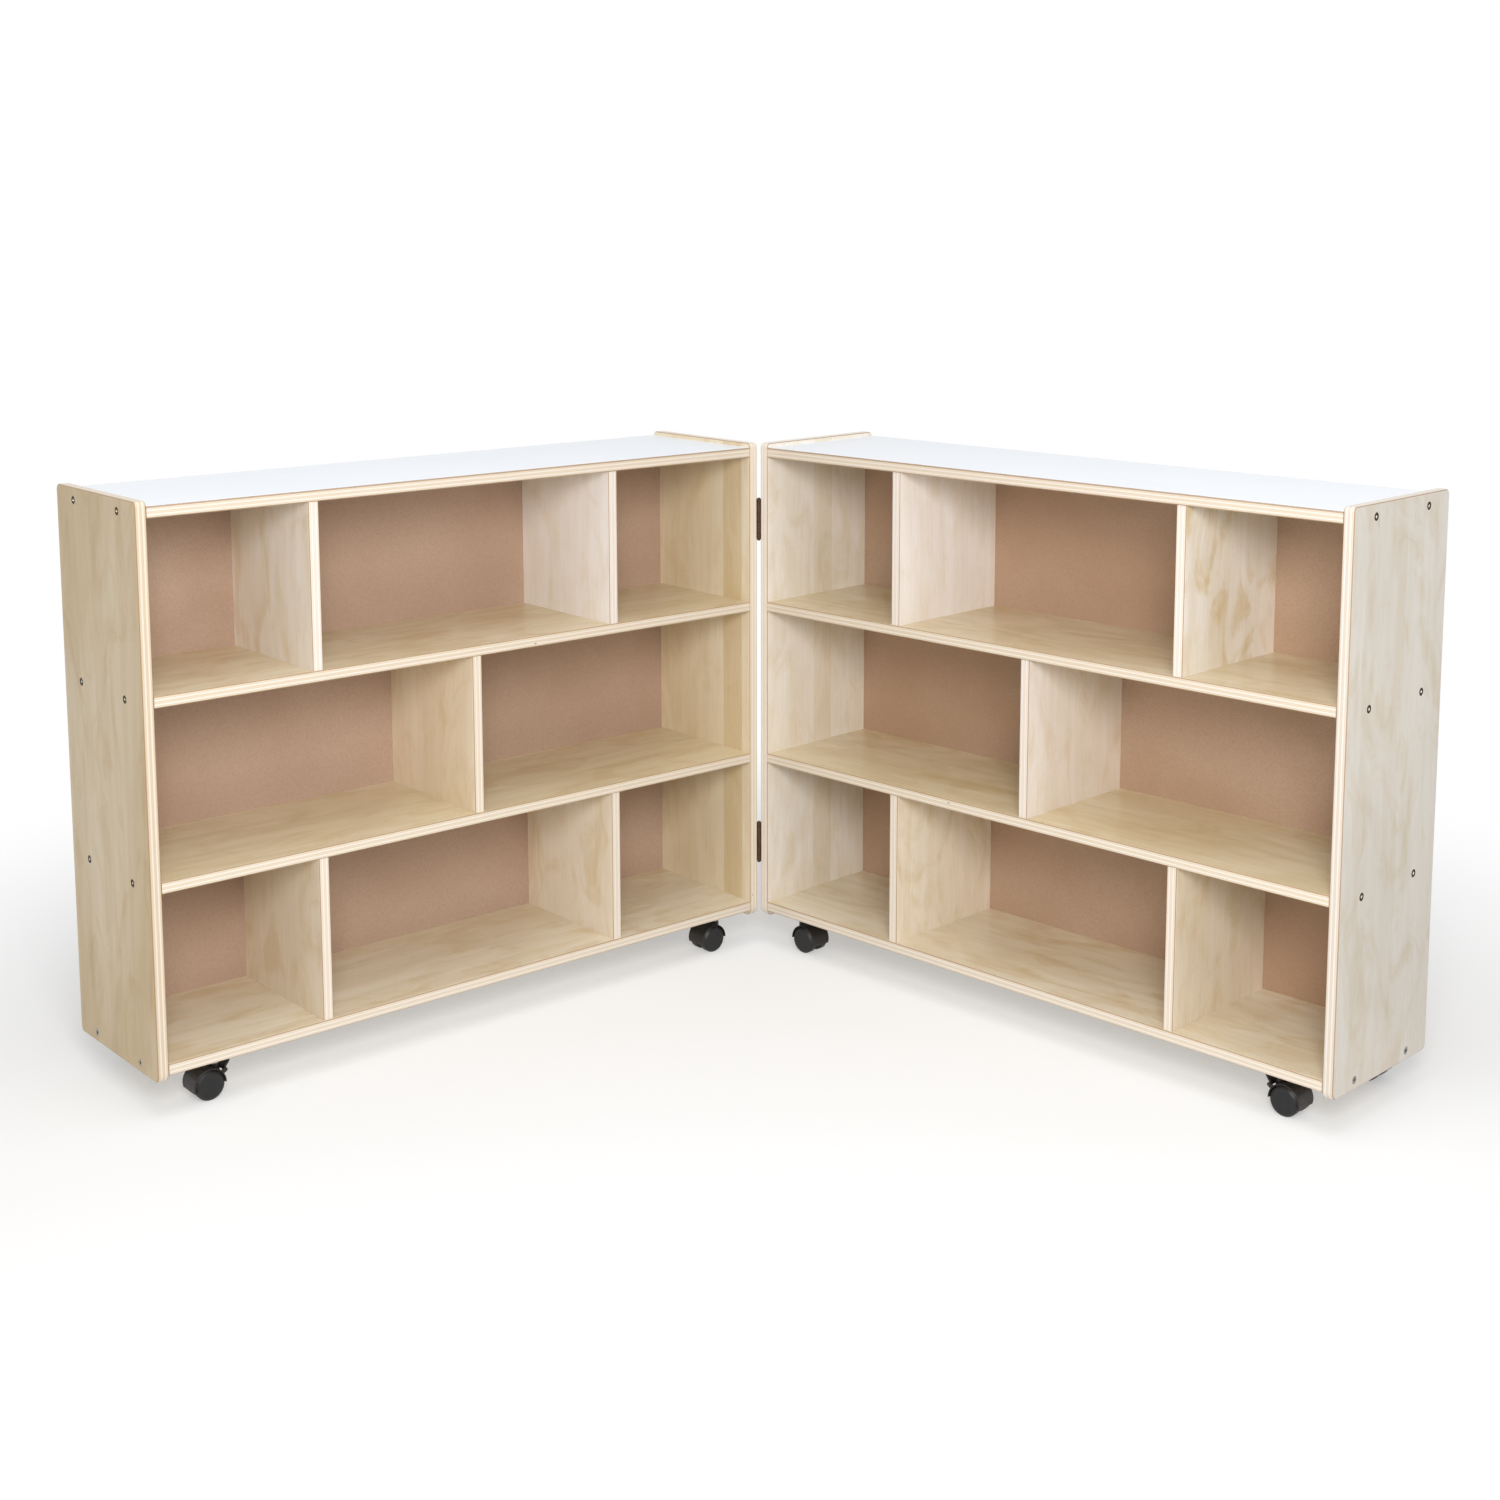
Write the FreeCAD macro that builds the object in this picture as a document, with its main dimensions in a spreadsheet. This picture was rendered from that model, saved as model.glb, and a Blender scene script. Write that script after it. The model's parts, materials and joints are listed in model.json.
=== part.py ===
import FreeCAD, Part
import Sketcher
import math
import os
import re

# A folding shelf: two plywood cabinets on casters, joined by butt hinges at their front corners.
# Frame: +Z up, the floor at z = 0, origin under the middle of the whole part's box.
# The left cabinet stands along X with its open front towards -Y, and the right one turns about the
# hinge pins. Within a cabinet, "across" is the distance from the outer face of the side panel that
# carries the hinges, "deep" is the distance behind the open front, and heights are from the floor.

# Driving dimensions in millimetres, and degrees for angles
SIZES = {
    # cabinet
    "unit_width": 1225.0,
    "unit_depth": 292.0,
    "panel_thickness": 19.0,
    "board_thickness": 19.0,
    "top_core": 18.0,
    "laminate": 1.0,
    "clear_height": 273.4,
    "base_rise": 9.8,
    "top_lip": 8.0,
    "outer_bay": 271.0,
    "wide_bay": 572.0,
    "centre_bay": 572.0,
    # edges
    "edge_round": 3.2,
    "panel_round": 3.2,
    "top_corner": 8.0,
    "foot_corner": 14.0,
    "rear_corner": 9.0,
    "laminate_bevel": 0.5,
    # hardboard back, let into grooves
    "back_inset": 14.5,
    "hardboard": 5.0,
    "groove_depth": 6.0,
    "groove_fit": 0.15,
    "seat_gap": 0.3,
    # dividers, housed in the boards above and below
    "divider_setback": 2.5,
    "housing_depth": 4.0,
    "housing_stop": 14.0,
    "housing_fit": 0.1,
    # screws through the side panels
    "screw_inset": 65.0,
    "screw_drop": 3.0,
    "screw_shank": 2.5,
    "screw_length": 45.0,
    "screw_head": 6.5,
    "screw_head_depth": 4.0,
    "screw_sink": 0.4,
    "running_fit": 0.05,
    # hinges
    "face_gap": 2.15,
    "pin_forward": 1.6,
    "rest_opening": 94.5,
    "hinge_inset": 144.5,
    "leaf_height": 76.0,
    "leaf_width": 27.0,
    "leaf_thickness": 1.9,
    "leaf_corner": 3.0,
    "knuckle_radius": 3.7,
    "knuckle_gap": 0.25,
    "pin_radius": 2.0,
    "pin_head": 3.2,
    "pin_head_height": 2.6,
    "hinge_screw_shank": 1.7,
    "hinge_screw_head": 3.4,
    "hinge_screw_length": 15.0,
    "hinge_screw_rise": 26.0,
    "hinge_screw_stagger": 5.0,
    # casters
    "caster_height": 72.0,
    "caster_inner_inset": 53.0,
    "caster_outer_inset": 95.0,
    "caster_depth_inset": 48.0,
    "rear_caster_outer_inset": 75.0,
    "rear_caster_depth_inset": 30.0,
    "plate_length": 60.0,
    "plate_width": 48.0,
    "plate_thickness": 2.5,
    "plate_corner": 6.0,
    "plate_hole_length": 46.0,
    "plate_hole_width": 34.0,
    "plate_hole": 2.3,
    "plate_screw_shank": 2.0,
    "plate_screw_head": 4.0,
    "plate_screw_head_height": 2.2,
    "plate_screw_length": 14.0,
    "neck_radius": 10.5,
    "neck_drop": 14.8,
    "swivel_gap": 0.3,
    "king_pin": 4.0,
    "king_pin_reach": 24.0,
    "trail": 15.0,
    "wheel_radius": 25.0,
    "wheel_width": 16.0,
    "wheel_side_gap": 0.4,
    "tread_round": 3.0,
    "hub_cap_inset": 3.4,
    "hub_cap_step": 1.0,
    "wheel_dish": 4.0,
    "wheel_rim": 5.0,
    "hub_radius": 8.0,
    "axle_radius": 3.0,
    "axle_press": 0.02,
    "hood_radius": 28.0,
    "hood_wall": 2.0,
    "hood_width": 44.4,
    "hood_edge": 1.2,
    "hood_rear_drop": 8.0,
    "web": 11.8,
    "web_hub": 9.0,
    # brake pedal
    "pedal_pivot_forward": 13.2,
    "pedal_pivot_drop": 28.5,
    "pedal_hub": 2.4,
    "pedal_width": 24.0,
    "pedal_reach": 16.0,
    "pedal_root": 4.2,
    "pedal_tip": 2.4,
    "pedal_slope": 128.0,
    "pedal_throw": 25.0,
    "brake_arm": 8.3,
    "brake_arm_width": 2.6,
    "brake_arm_inner": 11.5,
    "brake_arm_outer": 15.5,
    "brake_side_gap": 0.4,
    "ear_thickness": 2.4,
    "ear_radius": 3.4,
    "stub_radius": 1.2,
}

ALIASES = re.compile(r"\b(" + "|".join(sorted(SIZES, key=len, reverse=True)) + r")\b")
SIDES = ("left", "right")
ROWS = 3
KNUCKLES = 5
OWN_KNUCKLES = {"left": (0, 2, 4), "right": (1, 3)}
FULL_TURN = 360
SAME_WITHIN = 1e-4

# Heights and places that follow from the driving dimensions, as expressions
PITCH = "(clear_height + board_thickness)"
BOARD_LEVELS = [f"(caster_height + {step} * {PITCH})" for step in range(ROWS + 1)]
BASE, LOWER, UPPER, TOP = BOARD_LEVELS
PANEL_FOOT = "(caster_height - base_rise)"
PANEL_HEIGHT = f"(base_rise + {ROWS} * {PITCH} + top_core + laminate + top_lip)"
PANEL_HEAD = f"({PANEL_FOOT} + {PANEL_HEIGHT})"
CUT_OVERRUN = "panel_thickness"
BOARD_NEAR = "panel_thickness"
BOARD_FAR = "(unit_width - panel_thickness)"
SHELF_DEPTH = "(unit_depth - back_inset - hardboard)"
OUTER_DIVIDER = f"({BOARD_FAR} - outer_bay - board_thickness)"
INNER_DIVIDER = f"({OUTER_DIVIDER} - wide_bay - board_thickness)"
CENTRE_DIVIDER = f"({BOARD_FAR} - centre_bay - board_thickness)"
TOP_ROW = (OUTER_DIVIDER, INNER_DIVIDER)
MIDDLE_ROW = (CENTRE_DIVIDER,)

# Screws: where they go, and their shank, head, head's depth and how far they are sunk
SCREW_DEPTHS = ["screw_inset", "(unit_depth - screw_inset)"]
SIDE_SCREW = ("screw_shank", "screw_head", "screw_head_depth", "screw_sink")
HINGE_HEIGHTS = [f"({PANEL_FOOT} + hinge_inset)", f"({PANEL_HEAD} - hinge_inset)"]
HINGE_SCREW_STEPS = [("(0 - hinge_screw_rise)", "0"), ("0", "hinge_screw_stagger"), ("hinge_screw_rise", "0")]
HINGE_SCREW_SLOPE = "(hinge_screw_head - hinge_screw_shank)"
HINGE_SCREW = ("hinge_screw_shank", "hinge_screw_head", HINGE_SCREW_SLOPE, "0")

# The right cabinet is turned from the position in line with the left one
REST_TURN = "(rest_opening - 180)"
REACH = "(face_gap + unit_width)"
BACK_REACH = "(pin_forward + unit_depth)"
RIGHT_EDGE = f"({REACH} * cos({REST_TURN}) - {BACK_REACH} * sin({REST_TURN}))"
FRONT_EDGE = f"({REACH} * sin({REST_TURN}) + pin_forward * cos({REST_TURN}))"
PIN_X = f"(({REACH} - {RIGHT_EDGE}) / 2)"
PIN_Y = f"((0 - {BACK_REACH} - {FRONT_EDGE}) / 2)"

# Within a caster, drops are from the underside of the bottom shelf
AXLE_DROP = "(caster_height - wheel_radius)"
NECK_END_DROP = "(plate_thickness + neck_drop)"
HOOD_TOP_DROP = f"({NECK_END_DROP} + swivel_gap)"
WHEEL_INNER = "(web / 2 + wheel_side_gap)"
WHEEL_OUTER = f"({WHEEL_INNER} + wheel_width)"
PIVOT_X = "(0 - pedal_pivot_forward)"
PIVOT_Z = "(0 - pedal_pivot_drop)"
LINK_X = "(trail + pedal_pivot_forward)"
LINK_Z = f"(pedal_pivot_drop - {AXLE_DROP})"
LINK = f"sqrt({LINK_X} ^ 2 + {LINK_Z} ^ 2)"
ARM_X = f"(({LINK_X} * cos(pedal_throw) + {LINK_Z} * sin(pedal_throw)) / {LINK})"
ARM_Z = f"(({LINK_Z} * cos(pedal_throw) - {LINK_X} * sin(pedal_throw)) / {LINK})"
EAR_START = "(brake_arm_outer + brake_side_gap)"

# Casters of one cabinet: name, distance across, depth, resting swivel angle by side, with a brake
CASTER_NEAR = "(panel_thickness + caster_inner_inset)"
CASTER_FAR = "(unit_width - panel_thickness - caster_outer_inset)"
REAR_CASTER_FAR = "(unit_width - panel_thickness - rear_caster_outer_inset)"
CASTER_FRONT = "caster_depth_inset"
CASTER_REAR = "(unit_depth - rear_caster_depth_inset)"
CASTERS = [
    ("front_outer", CASTER_FAR, CASTER_FRONT, {"left": 180, "right": 0}, True),
    ("front_inner", CASTER_NEAR, CASTER_FRONT, {"left": 180, "right": 0}, False),
    ("rear_outer", REAR_CASTER_FAR, CASTER_REAR, {"left": 0, "right": 0}, True),
    ("rear_inner", CASTER_NEAR, CASTER_REAR, {"left": 0, "right": 180}, False),
]

doc = FreeCAD.newDocument("folding_shelf")
parts = []


def make_sheet():
    """The spreadsheet that holds every driving dimension under its own alias."""
    sheet = doc.addObject("Spreadsheet::Sheet", "Sizes")
    for row, (name, size) in enumerate(SIZES.items(), 1):
        sheet.set(f"A{row}", name)
        sheet.set(f"B{row}", str(size))
        sheet.setAlias(f"B{row}", name)
    doc.recompute()
    return sheet


def bind(text):
    """An expression with each size name pointed at the spreadsheet."""
    return ALIASES.sub(r"Sizes.\1", text)


sheet = make_sheet()


def value(text):
    """The present value of an expression in the driving dimensions."""
    return float(sheet.evalExpression(bind(text)))


def new_body(name):
    """An empty body whose label names the piece."""
    body = doc.addObject("PartDesign::Body", name)
    body.Label = name
    body.AllowCompound = True
    return body


def keep(piece):
    """Notes a finished piece for checking and export."""
    parts.append(piece)
    return piece


def origin_plane(body, role):
    """One of the body's own origin planes."""
    return next(item for item in body.Origin.OriginFeatures if item.Role == role)


def new_sketch(body, role, offset="0", shift=("0", "0")):
    """A sketch on an origin plane, moved along the plane's normal and within the plane."""
    sketch = body.newObject("Sketcher::SketchObject", body.Name + "_sketch")
    sketch.AttachmentSupport = (origin_plane(body, role), [""])
    sketch.MapMode = "FlatFace"
    for axis, text in zip("xyz", (shift[0], shift[1], offset)):
        sketch.setExpression(f"AttachmentOffset.Base.{axis}", bind(text))
    return sketch


def constrain(sketch, kind, *where, text):
    """A driving constraint whose datum follows an expression."""
    index = sketch.addConstraint(Sketcher.Constraint(kind, *where, value(text)))
    sketch.setExpression(f"Constraints[{index}]", bind(text))


def pin_point(sketch, geometry, point, x_text, y_text):
    """Holds a point of the sketch at coordinates given by expressions."""
    constrain(sketch, "DistanceX", -1, 1, geometry, point, text=x_text)
    constrain(sketch, "DistanceY", -1, 1, geometry, point, text=y_text)


def add_outline(sketch, points):
    """A closed outline of straight edges through points given as pairs of expressions."""
    corners = [FreeCAD.Vector(value(x), value(y), 0) for x, y in points]
    first = sketch.GeometryCount
    for start, end in zip(corners, corners[1:] + corners[:1]):
        sketch.addGeometry(Part.LineSegment(start, end), False)
    for step, (x, y) in enumerate(points):
        before = first + (step - 1) % len(points)
        sketch.addConstraint(Sketcher.Constraint("Coincident", before, 2, first + step, 1))
        pin_point(sketch, first + step, 1, x, y)


def add_rectangle(sketch, low_x, high_x, low_y, high_y):
    """A rectangle between two corners."""
    add_outline(sketch, [(low_x, low_y), (high_x, low_y), (high_x, high_y), (low_x, high_y)])


def add_circle(sketch, x, y, radius):
    """A circle with its centre and radius bound to expressions."""
    centre = FreeCAD.Vector(value(x), value(y), 0)
    circle = Part.Circle(centre, FreeCAD.Vector(0, 0, 1), value(radius))
    index = sketch.addGeometry(circle, False)
    pin_point(sketch, index, 3, x, y)
    constrain(sketch, "Radius", index, text=radius)


def add_pad(body, sketch, length, midplane=False, reverse=False):
    """Material grown from a sketch."""
    pad = body.newObject("PartDesign::Pad", body.Name + "_pad")
    pad.Profile = sketch
    pad.SideType = "Symmetric" if midplane else "One side"
    pad.Reversed = reverse
    pad.setExpression("Length", bind(length))
    return finish(body, pad)


def add_pocket(body, sketch, length, midplane=False, reverse=False):
    """Material cut away from a sketch. Fails aloud when it cuts nothing."""
    doc.recompute()
    before = body.Shape.Volume
    pocket = body.newObject("PartDesign::Pocket", body.Name + "_pocket")
    pocket.Profile = sketch
    pocket.SideType = "Symmetric" if midplane else "One side"
    pocket.Reversed = reverse
    pocket.setExpression("Length", bind(length))
    finish(body, pocket)
    if not body.Shape.Volume < before:
        raise RuntimeError(f"{pocket.Label} cuts nothing")
    return pocket


def add_revolution(body, sketch, axis):
    """A full turn of a sketch about one of its own axes."""
    turn = body.newObject("PartDesign::Revolution", body.Name + "_turn")
    turn.Profile = sketch
    turn.ReferenceAxis = (sketch, [axis])
    turn.Angle = FULL_TURN
    return finish(body, turn)


def round_edges(body, radius, wanted):
    """A fillet on every edge of the body that the test accepts."""
    return dress_edges(body, "PartDesign::Fillet", "Radius", radius, wanted)


def bevel_edges(body, size, wanted):
    """A chamfer on every edge of the body that the test accepts."""
    return dress_edges(body, "PartDesign::Chamfer", "Size", size, wanted)


def dress_edges(body, kind, property_name, size, wanted):
    """A fillet or chamfer bound to a size, on the edges that the test accepts."""
    doc.recompute()
    base = body.Tip
    box = base.Shape.BoundBox
    names = [f"Edge{n}" for n, edge in enumerate(base.Shape.Edges, 1) if wanted(edge, box)]
    feature = body.newObject(kind, body.Name + "_edge")
    feature.Base = (base, names)
    feature.setExpression(property_name, bind(size))
    return finish(body, feature)


def finish(body, feature):
    """Makes a feature the body's tip and brings the shape up to date."""
    body.Tip = feature
    doc.recompute()
    return feature


# Placing pieces in a cabinet and a caster


def across(side, text):
    """A distance from the hinge side of a cabinet, as a signed x in the cabinet's frame."""
    return f"(0 - face_gap - {text})" if side == "left" else f"(face_gap + {text})"


def deep(text):
    """A distance behind the open front, as a y in the cabinet's frame."""
    return f"(pin_forward + {text})"


def span(side, near, far):
    """The low x and the length of a stretch across a cabinet."""
    low = across(side, far) if side == "left" else across(side, near)
    return low, f"({far} - {near})"


def stand(body, side, x="0", y="0", z="0", turn="0"):
    """Places a body by its position in the cabinet's frame, with its origin at the pins."""
    rest = "0" if side == "left" else REST_TURN
    body.Placement.Rotation = FreeCAD.Rotation(FreeCAD.Vector(0, 0, 1), 0)
    body.setExpression("Placement.Rotation.Angle", bind(f"{rest} + {turn}"))
    body.setExpression("Placement.Base.x", bind(f"{PIN_X} + {x} * cos({rest}) - {y} * sin({rest})"))
    body.setExpression("Placement.Base.y", bind(f"{PIN_Y} + {x} * sin({rest}) + {y} * cos({rest})"))
    body.setExpression("Placement.Base.z", bind(z))
    doc.recompute()
    return keep(body)


def stand_caster(body, side, caster):
    """Places a body made about a swivel axis, with z = 0 under the bottom shelf."""
    _, where, depth, swivel, _ = caster
    return stand(body, side, across(side, where), deep(depth), "caster_height", str(swivel[side]))


# Which edges are dressed


def near(first, second):
    """Whether two measures agree."""
    return math.isclose(first, second, abs_tol=SAME_WITHIN)


def front_long_edge(edge, box):
    """A long edge of the open front."""
    bounds = edge.BoundBox
    return near(bounds.YMax, box.YMin) and near(bounds.XLength, box.XLength)


def front_low_edge(edge, box):
    """The lower long edge of the open front."""
    return front_long_edge(edge, box) and near(edge.BoundBox.ZMax, box.ZMin)


def front_top_edge(edge, box):
    """The upper long edge of the open front."""
    return front_long_edge(edge, box) and near(edge.BoundBox.ZMin, box.ZMax)


def front_upright_edge(edge, box):
    """An upright edge of the open front."""
    bounds = edge.BoundBox
    return near(bounds.YMax, box.YMin) and bounds.ZLength > bounds.XLength


def corner_edge(front, top):
    """A test for the short edge through one corner of a side panel."""
    def wanted(edge, box):
        bounds = edge.BoundBox
        in_depth = near(bounds.YMax, box.YMin) if front else near(bounds.YMin, box.YMax)
        in_height = near(bounds.ZMin, box.ZMax) if top else near(bounds.ZMax, box.ZMin)
        return near(bounds.XLength, box.XLength) and in_depth and in_height
    return wanted


def rear_corner_edge(edge, box):
    """Either short edge at the back of a side panel."""
    return corner_edge(False, True)(edge, box) or corner_edge(False, False)(edge, box)


def face_outline_edge(edge, box):
    """An edge round either broad face of a side panel."""
    bounds = edge.BoundBox
    flat = near(bounds.XLength, 0)
    return flat and (near(bounds.XMin, box.XMin) or near(bounds.XMax, box.XMax))


def upright_edge(edge, box):
    """An edge that runs the full height."""
    return near(edge.BoundBox.ZLength, box.ZLength)


# Cabinet boards


def add_board(side, name, near_text, far_text, depth, low, height):
    """A board lying between the side panels, grown along the cabinet."""
    body = new_body(f"{side}_{name}")
    start, length = span(side, near_text, far_text)
    sketch = new_sketch(body, "YZ_Plane", start)
    add_rectangle(sketch, deep("0"), deep(depth), low, f"({low} + {height})")
    add_pad(body, sketch, length)
    return body


def screw_level(low):
    """The height of the screws into the board that starts at a level."""
    return f"({low} + board_thickness / 2 - screw_drop)"


def bore_board_ends(body, side, low):
    """Pilot holes in both ends of a board for the screws through the side panels."""
    depth = "(screw_length + screw_sink - panel_thickness + seat_gap)"
    for end, grows in ((BOARD_NEAR, side == "right"), (BOARD_FAR, side == "left")):
        sketch = new_sketch(body, "YZ_Plane", across(side, end))
        for place in SCREW_DEPTHS:
            add_circle(sketch, deep(place), screw_level(low), "(screw_shank + running_fit)")
        add_pocket(body, sketch, depth, reverse=grows)


def house_divider(body, side, start, low, from_below):
    """A stopped housing in a board's face, open at the back, for the tongue of a divider."""
    level = f"({low} + housing_depth)" if from_below else low
    sketch = new_sketch(body, "XY_Plane", level)
    near_wall = across(side, f"({start} - housing_fit)")
    far_wall = across(side, f"({start} + board_thickness + housing_fit)")
    rear = deep(f"({SHELF_DEPTH} + {CUT_OVERRUN})")
    add_rectangle(sketch, near_wall, far_wall, deep("housing_stop"), rear)
    add_pocket(body, sketch, "housing_depth")


def back_groove():
    """The front and the rear of the groove for the hardboard back."""
    return deep(f"({SHELF_DEPTH} - groove_fit)"), deep(f"({SHELF_DEPTH} + hardboard + groove_fit)")


def groove_for_back(body, side, level):
    """The groove for the hardboard back along a board, cut down from a level."""
    sketch = new_sketch(body, "XY_Plane", level)
    near_end = across(side, f"({BOARD_NEAR} - {CUT_OVERRUN})")
    far_end = across(side, f"({BOARD_FAR} + {CUT_OVERRUN})")
    add_rectangle(sketch, near_end, far_end, *back_groove())
    add_pocket(body, sketch, "groove_depth")


def shelf(side, name, low, above, below):
    """A shelf with a rounded front, housings for its dividers and pilot holes in its ends."""
    body = add_board(side, name, BOARD_NEAR, BOARD_FAR, SHELF_DEPTH, low, "board_thickness")
    round_edges(body, "edge_round", front_long_edge)
    for start in above:
        house_divider(body, side, start, f"({low} + board_thickness)", False)
    for start in below:
        house_divider(body, side, start, low, True)
    bore_board_ends(body, side, low)
    return stand(body, side)


def bottom_shelf(side):
    """The full-depth bottom board, grooved for the back and bored for the caster plates."""
    body = add_board(side, "bottom_shelf", BOARD_NEAR, BOARD_FAR, "unit_depth", BASE, "board_thickness")
    round_edges(body, "edge_round", front_long_edge)
    for start in TOP_ROW:
        house_divider(body, side, start, f"({BASE} + board_thickness)", False)
    groove_for_back(body, side, f"({BASE} + board_thickness)")
    bore_board_ends(body, side, BASE)
    sketch = new_sketch(body, "XY_Plane", BASE)
    for x, y in plate_holes(side):
        add_circle(sketch, x, y, "(plate_screw_shank + running_fit)")
    add_pocket(body, sketch, "(plate_screw_length - plate_thickness + seat_gap)", reverse=True)
    return stand(body, side)


def top_board(side):
    """The top board's plywood core, housed for the dividers and grooved for the back."""
    body = add_board(side, "top_board", BOARD_NEAR, BOARD_FAR, "unit_depth", TOP, "top_core")
    round_edges(body, "edge_round", front_low_edge)
    for start in TOP_ROW:
        house_divider(body, side, start, TOP, True)
    groove_for_back(body, side, f"({TOP} + groove_depth)")
    bore_board_ends(body, side, TOP)
    return stand(body, side)


def top_laminate(side):
    """The thin sheet bonded to the top board, with a bevelled front edge."""
    level = f"({TOP} + top_core)"
    body = add_board(side, "top_laminate", BOARD_NEAR, BOARD_FAR, "unit_depth", level, "laminate")
    bevel_edges(body, "laminate_bevel", front_top_edge)
    return stand(body, side)


def back_panel(side):
    """The hardboard back, held in grooves on all four sides."""
    body = new_body(f"{side}_back_panel")
    hold = "(groove_depth - seat_gap)"
    start, length = span(side, f"({BOARD_NEAR} - {hold})", f"({BOARD_FAR} + {hold})")
    sketch = new_sketch(body, "YZ_Plane", start)
    low, high = f"({BASE} + board_thickness - {hold})", f"({TOP} + {hold})"
    add_rectangle(sketch, deep(SHELF_DEPTH), deep(f"({SHELF_DEPTH} + hardboard)"), low, high)
    add_pad(body, sketch, length)
    return stand(body, side)


def divider(side, name, start, low):
    """An upright divider with a tongue at each end, cut back at the front of its housings."""
    body = new_body(f"{side}_{name}")
    first, length = span(side, start, f"({start} + board_thickness)")
    sketch = new_sketch(body, "YZ_Plane", first)
    foot, head = f"({low} + board_thickness)", f"({low} + {PITCH})"
    tongue = "(housing_depth - seat_gap)"
    front, step, rear = deep("divider_setback"), deep("(housing_stop + seat_gap)"), deep(SHELF_DEPTH)
    add_outline(sketch, [
        (front, foot), (step, foot), (step, f"({foot} - {tongue})"), (rear, f"({foot} - {tongue})"),
        (rear, f"({head} + {tongue})"), (step, f"({head} + {tongue})"), (step, head), (front, head),
    ])
    add_pad(body, sketch, length)
    round_edges(body, "edge_round", front_upright_edge)
    return stand(body, side)


def side_panel(side, name, near_text, far_text, bays_low):
    """A side panel with rounded corners and edges, grooved for the back and bored for its screws."""
    body = new_body(f"{side}_{name}")
    start, length = span(side, near_text, far_text)
    sketch = new_sketch(body, "YZ_Plane", start)
    add_rectangle(sketch, deep("0"), deep("unit_depth"), PANEL_FOOT, PANEL_HEAD)
    add_pad(body, sketch, length)
    round_edges(body, "top_corner", corner_edge(True, True))
    round_edges(body, "foot_corner", corner_edge(True, False))
    round_edges(body, "rear_corner", rear_corner_edge)
    round_edges(body, "panel_round", face_outline_edge)
    inner_face = start if bays_low else f"({start} + {length})"
    groove = new_sketch(body, "YZ_Plane", inner_face)
    low, high = f"({BASE} + board_thickness - groove_depth)", f"({TOP} + groove_depth)"
    add_rectangle(groove, *back_groove(), low, high)
    add_pocket(body, groove, "groove_depth", reverse=bays_low)
    outer_face = f"({start} + {length})" if bays_low else start
    add_countersunk_holes(body, outer_face, not bays_low, panel_screw_places(), *SIDE_SCREW)
    if name == "inner_side_panel":
        pilots = new_sketch(body, "YZ_Plane", outer_face)
        for y, z in hinge_screw_places():
            add_circle(pilots, y, z, "(hinge_screw_shank + running_fit)")
        pilot_depth = "(hinge_screw_length - leaf_thickness + seat_gap)"
        add_pocket(body, pilots, pilot_depth, reverse=not bays_low)
    return stand(body, side)


def panel_screw_places():
    """Depth and height of each screw through a side panel."""
    return [(deep(place), screw_level(low)) for low in BOARD_LEVELS for place in SCREW_DEPTHS]


def hinge_screw_places():
    """Depth and height of each screw of the two hinge leaves on one cabinet."""
    middle = "((knuckle_radius + leaf_width) / 2)"
    return [(f"({middle} + {back})", f"({height} + {rise})")
            for height in HINGE_HEIGHTS for rise, back in HINGE_SCREW_STEPS]


def add_countersunk_holes(body, face, inward_up, places, shank, head, head_depth, sink):
    """Through holes with countersinks that seat the screw heads, entered from one face."""
    sketch = new_sketch(body, "YZ_Plane", face)
    for y, z in places:
        add_circle(sketch, y, z, f"({shank} + running_fit)")
    doc.recompute()
    before = body.Shape.Volume
    hole = body.newObject("PartDesign::Hole", body.Name + "_hole")
    hole.Profile = sketch
    doc.recompute()
    hole.ThreadType = "None"
    hole.DepthType = "ThroughAll"
    hole.Reversed = inward_up
    hole.HoleCutType = "Countersink"
    hole.HoleCutCustomValues = True
    hole.setExpression("Diameter", bind(f"2 * ({shank} + running_fit)"))
    slope = f"(({head} - {shank}) / {head_depth})"
    hole.setExpression("HoleCutDiameter", bind(f"2 * ({head} + {sink} * {slope})"))
    hole.setExpression("HoleCutCountersinkAngle", bind(f"2 * atan({slope})"))
    finish(body, hole)
    if not body.Shape.Volume < before:
        raise RuntimeError(f"{hole.Label} cuts nothing")


# Groups of identical fasteners


def screw_solid(points):
    """A solid turned from a profile of (radius, distance along the axis) about the x axis."""
    corners = [FreeCAD.Vector(along, radius, 0) for radius, along in points]
    face = Part.Face(Part.makePolygon(corners + corners[:1]))
    return face.revolve(FreeCAD.Vector(0, 0, 0), FreeCAD.Vector(1, 0, 0), FULL_TURN)


def add_screws(side, name, solid, places):
    """A node of identical screws. Each place is a position in the cabinet's frame and an aim."""
    node = doc.addObject("Part::Feature", f"{side}_{name}")
    node.Label = f"{side}_{name}"
    screws = []
    for position, aim in places:
        screw = solid.copy()
        turn = FreeCAD.Rotation(FreeCAD.Vector(1, 0, 0), FreeCAD.Vector(*aim))
        screw.Placement = FreeCAD.Placement(FreeCAD.Vector(*(value(text) for text in position)), turn)
        screws.append(screw)
    node.Shape = Part.makeCompound(screws)
    return stand(node, side)


def countersunk_screw(shank, head, head_depth, length):
    """A countersunk screw with its head's face at zero and its shank along x."""
    return screw_solid([(0, 0), (value(head), 0), (value(shank), value(head_depth)),
                        (value(shank), value(length)), (0, value(length))])


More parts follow.
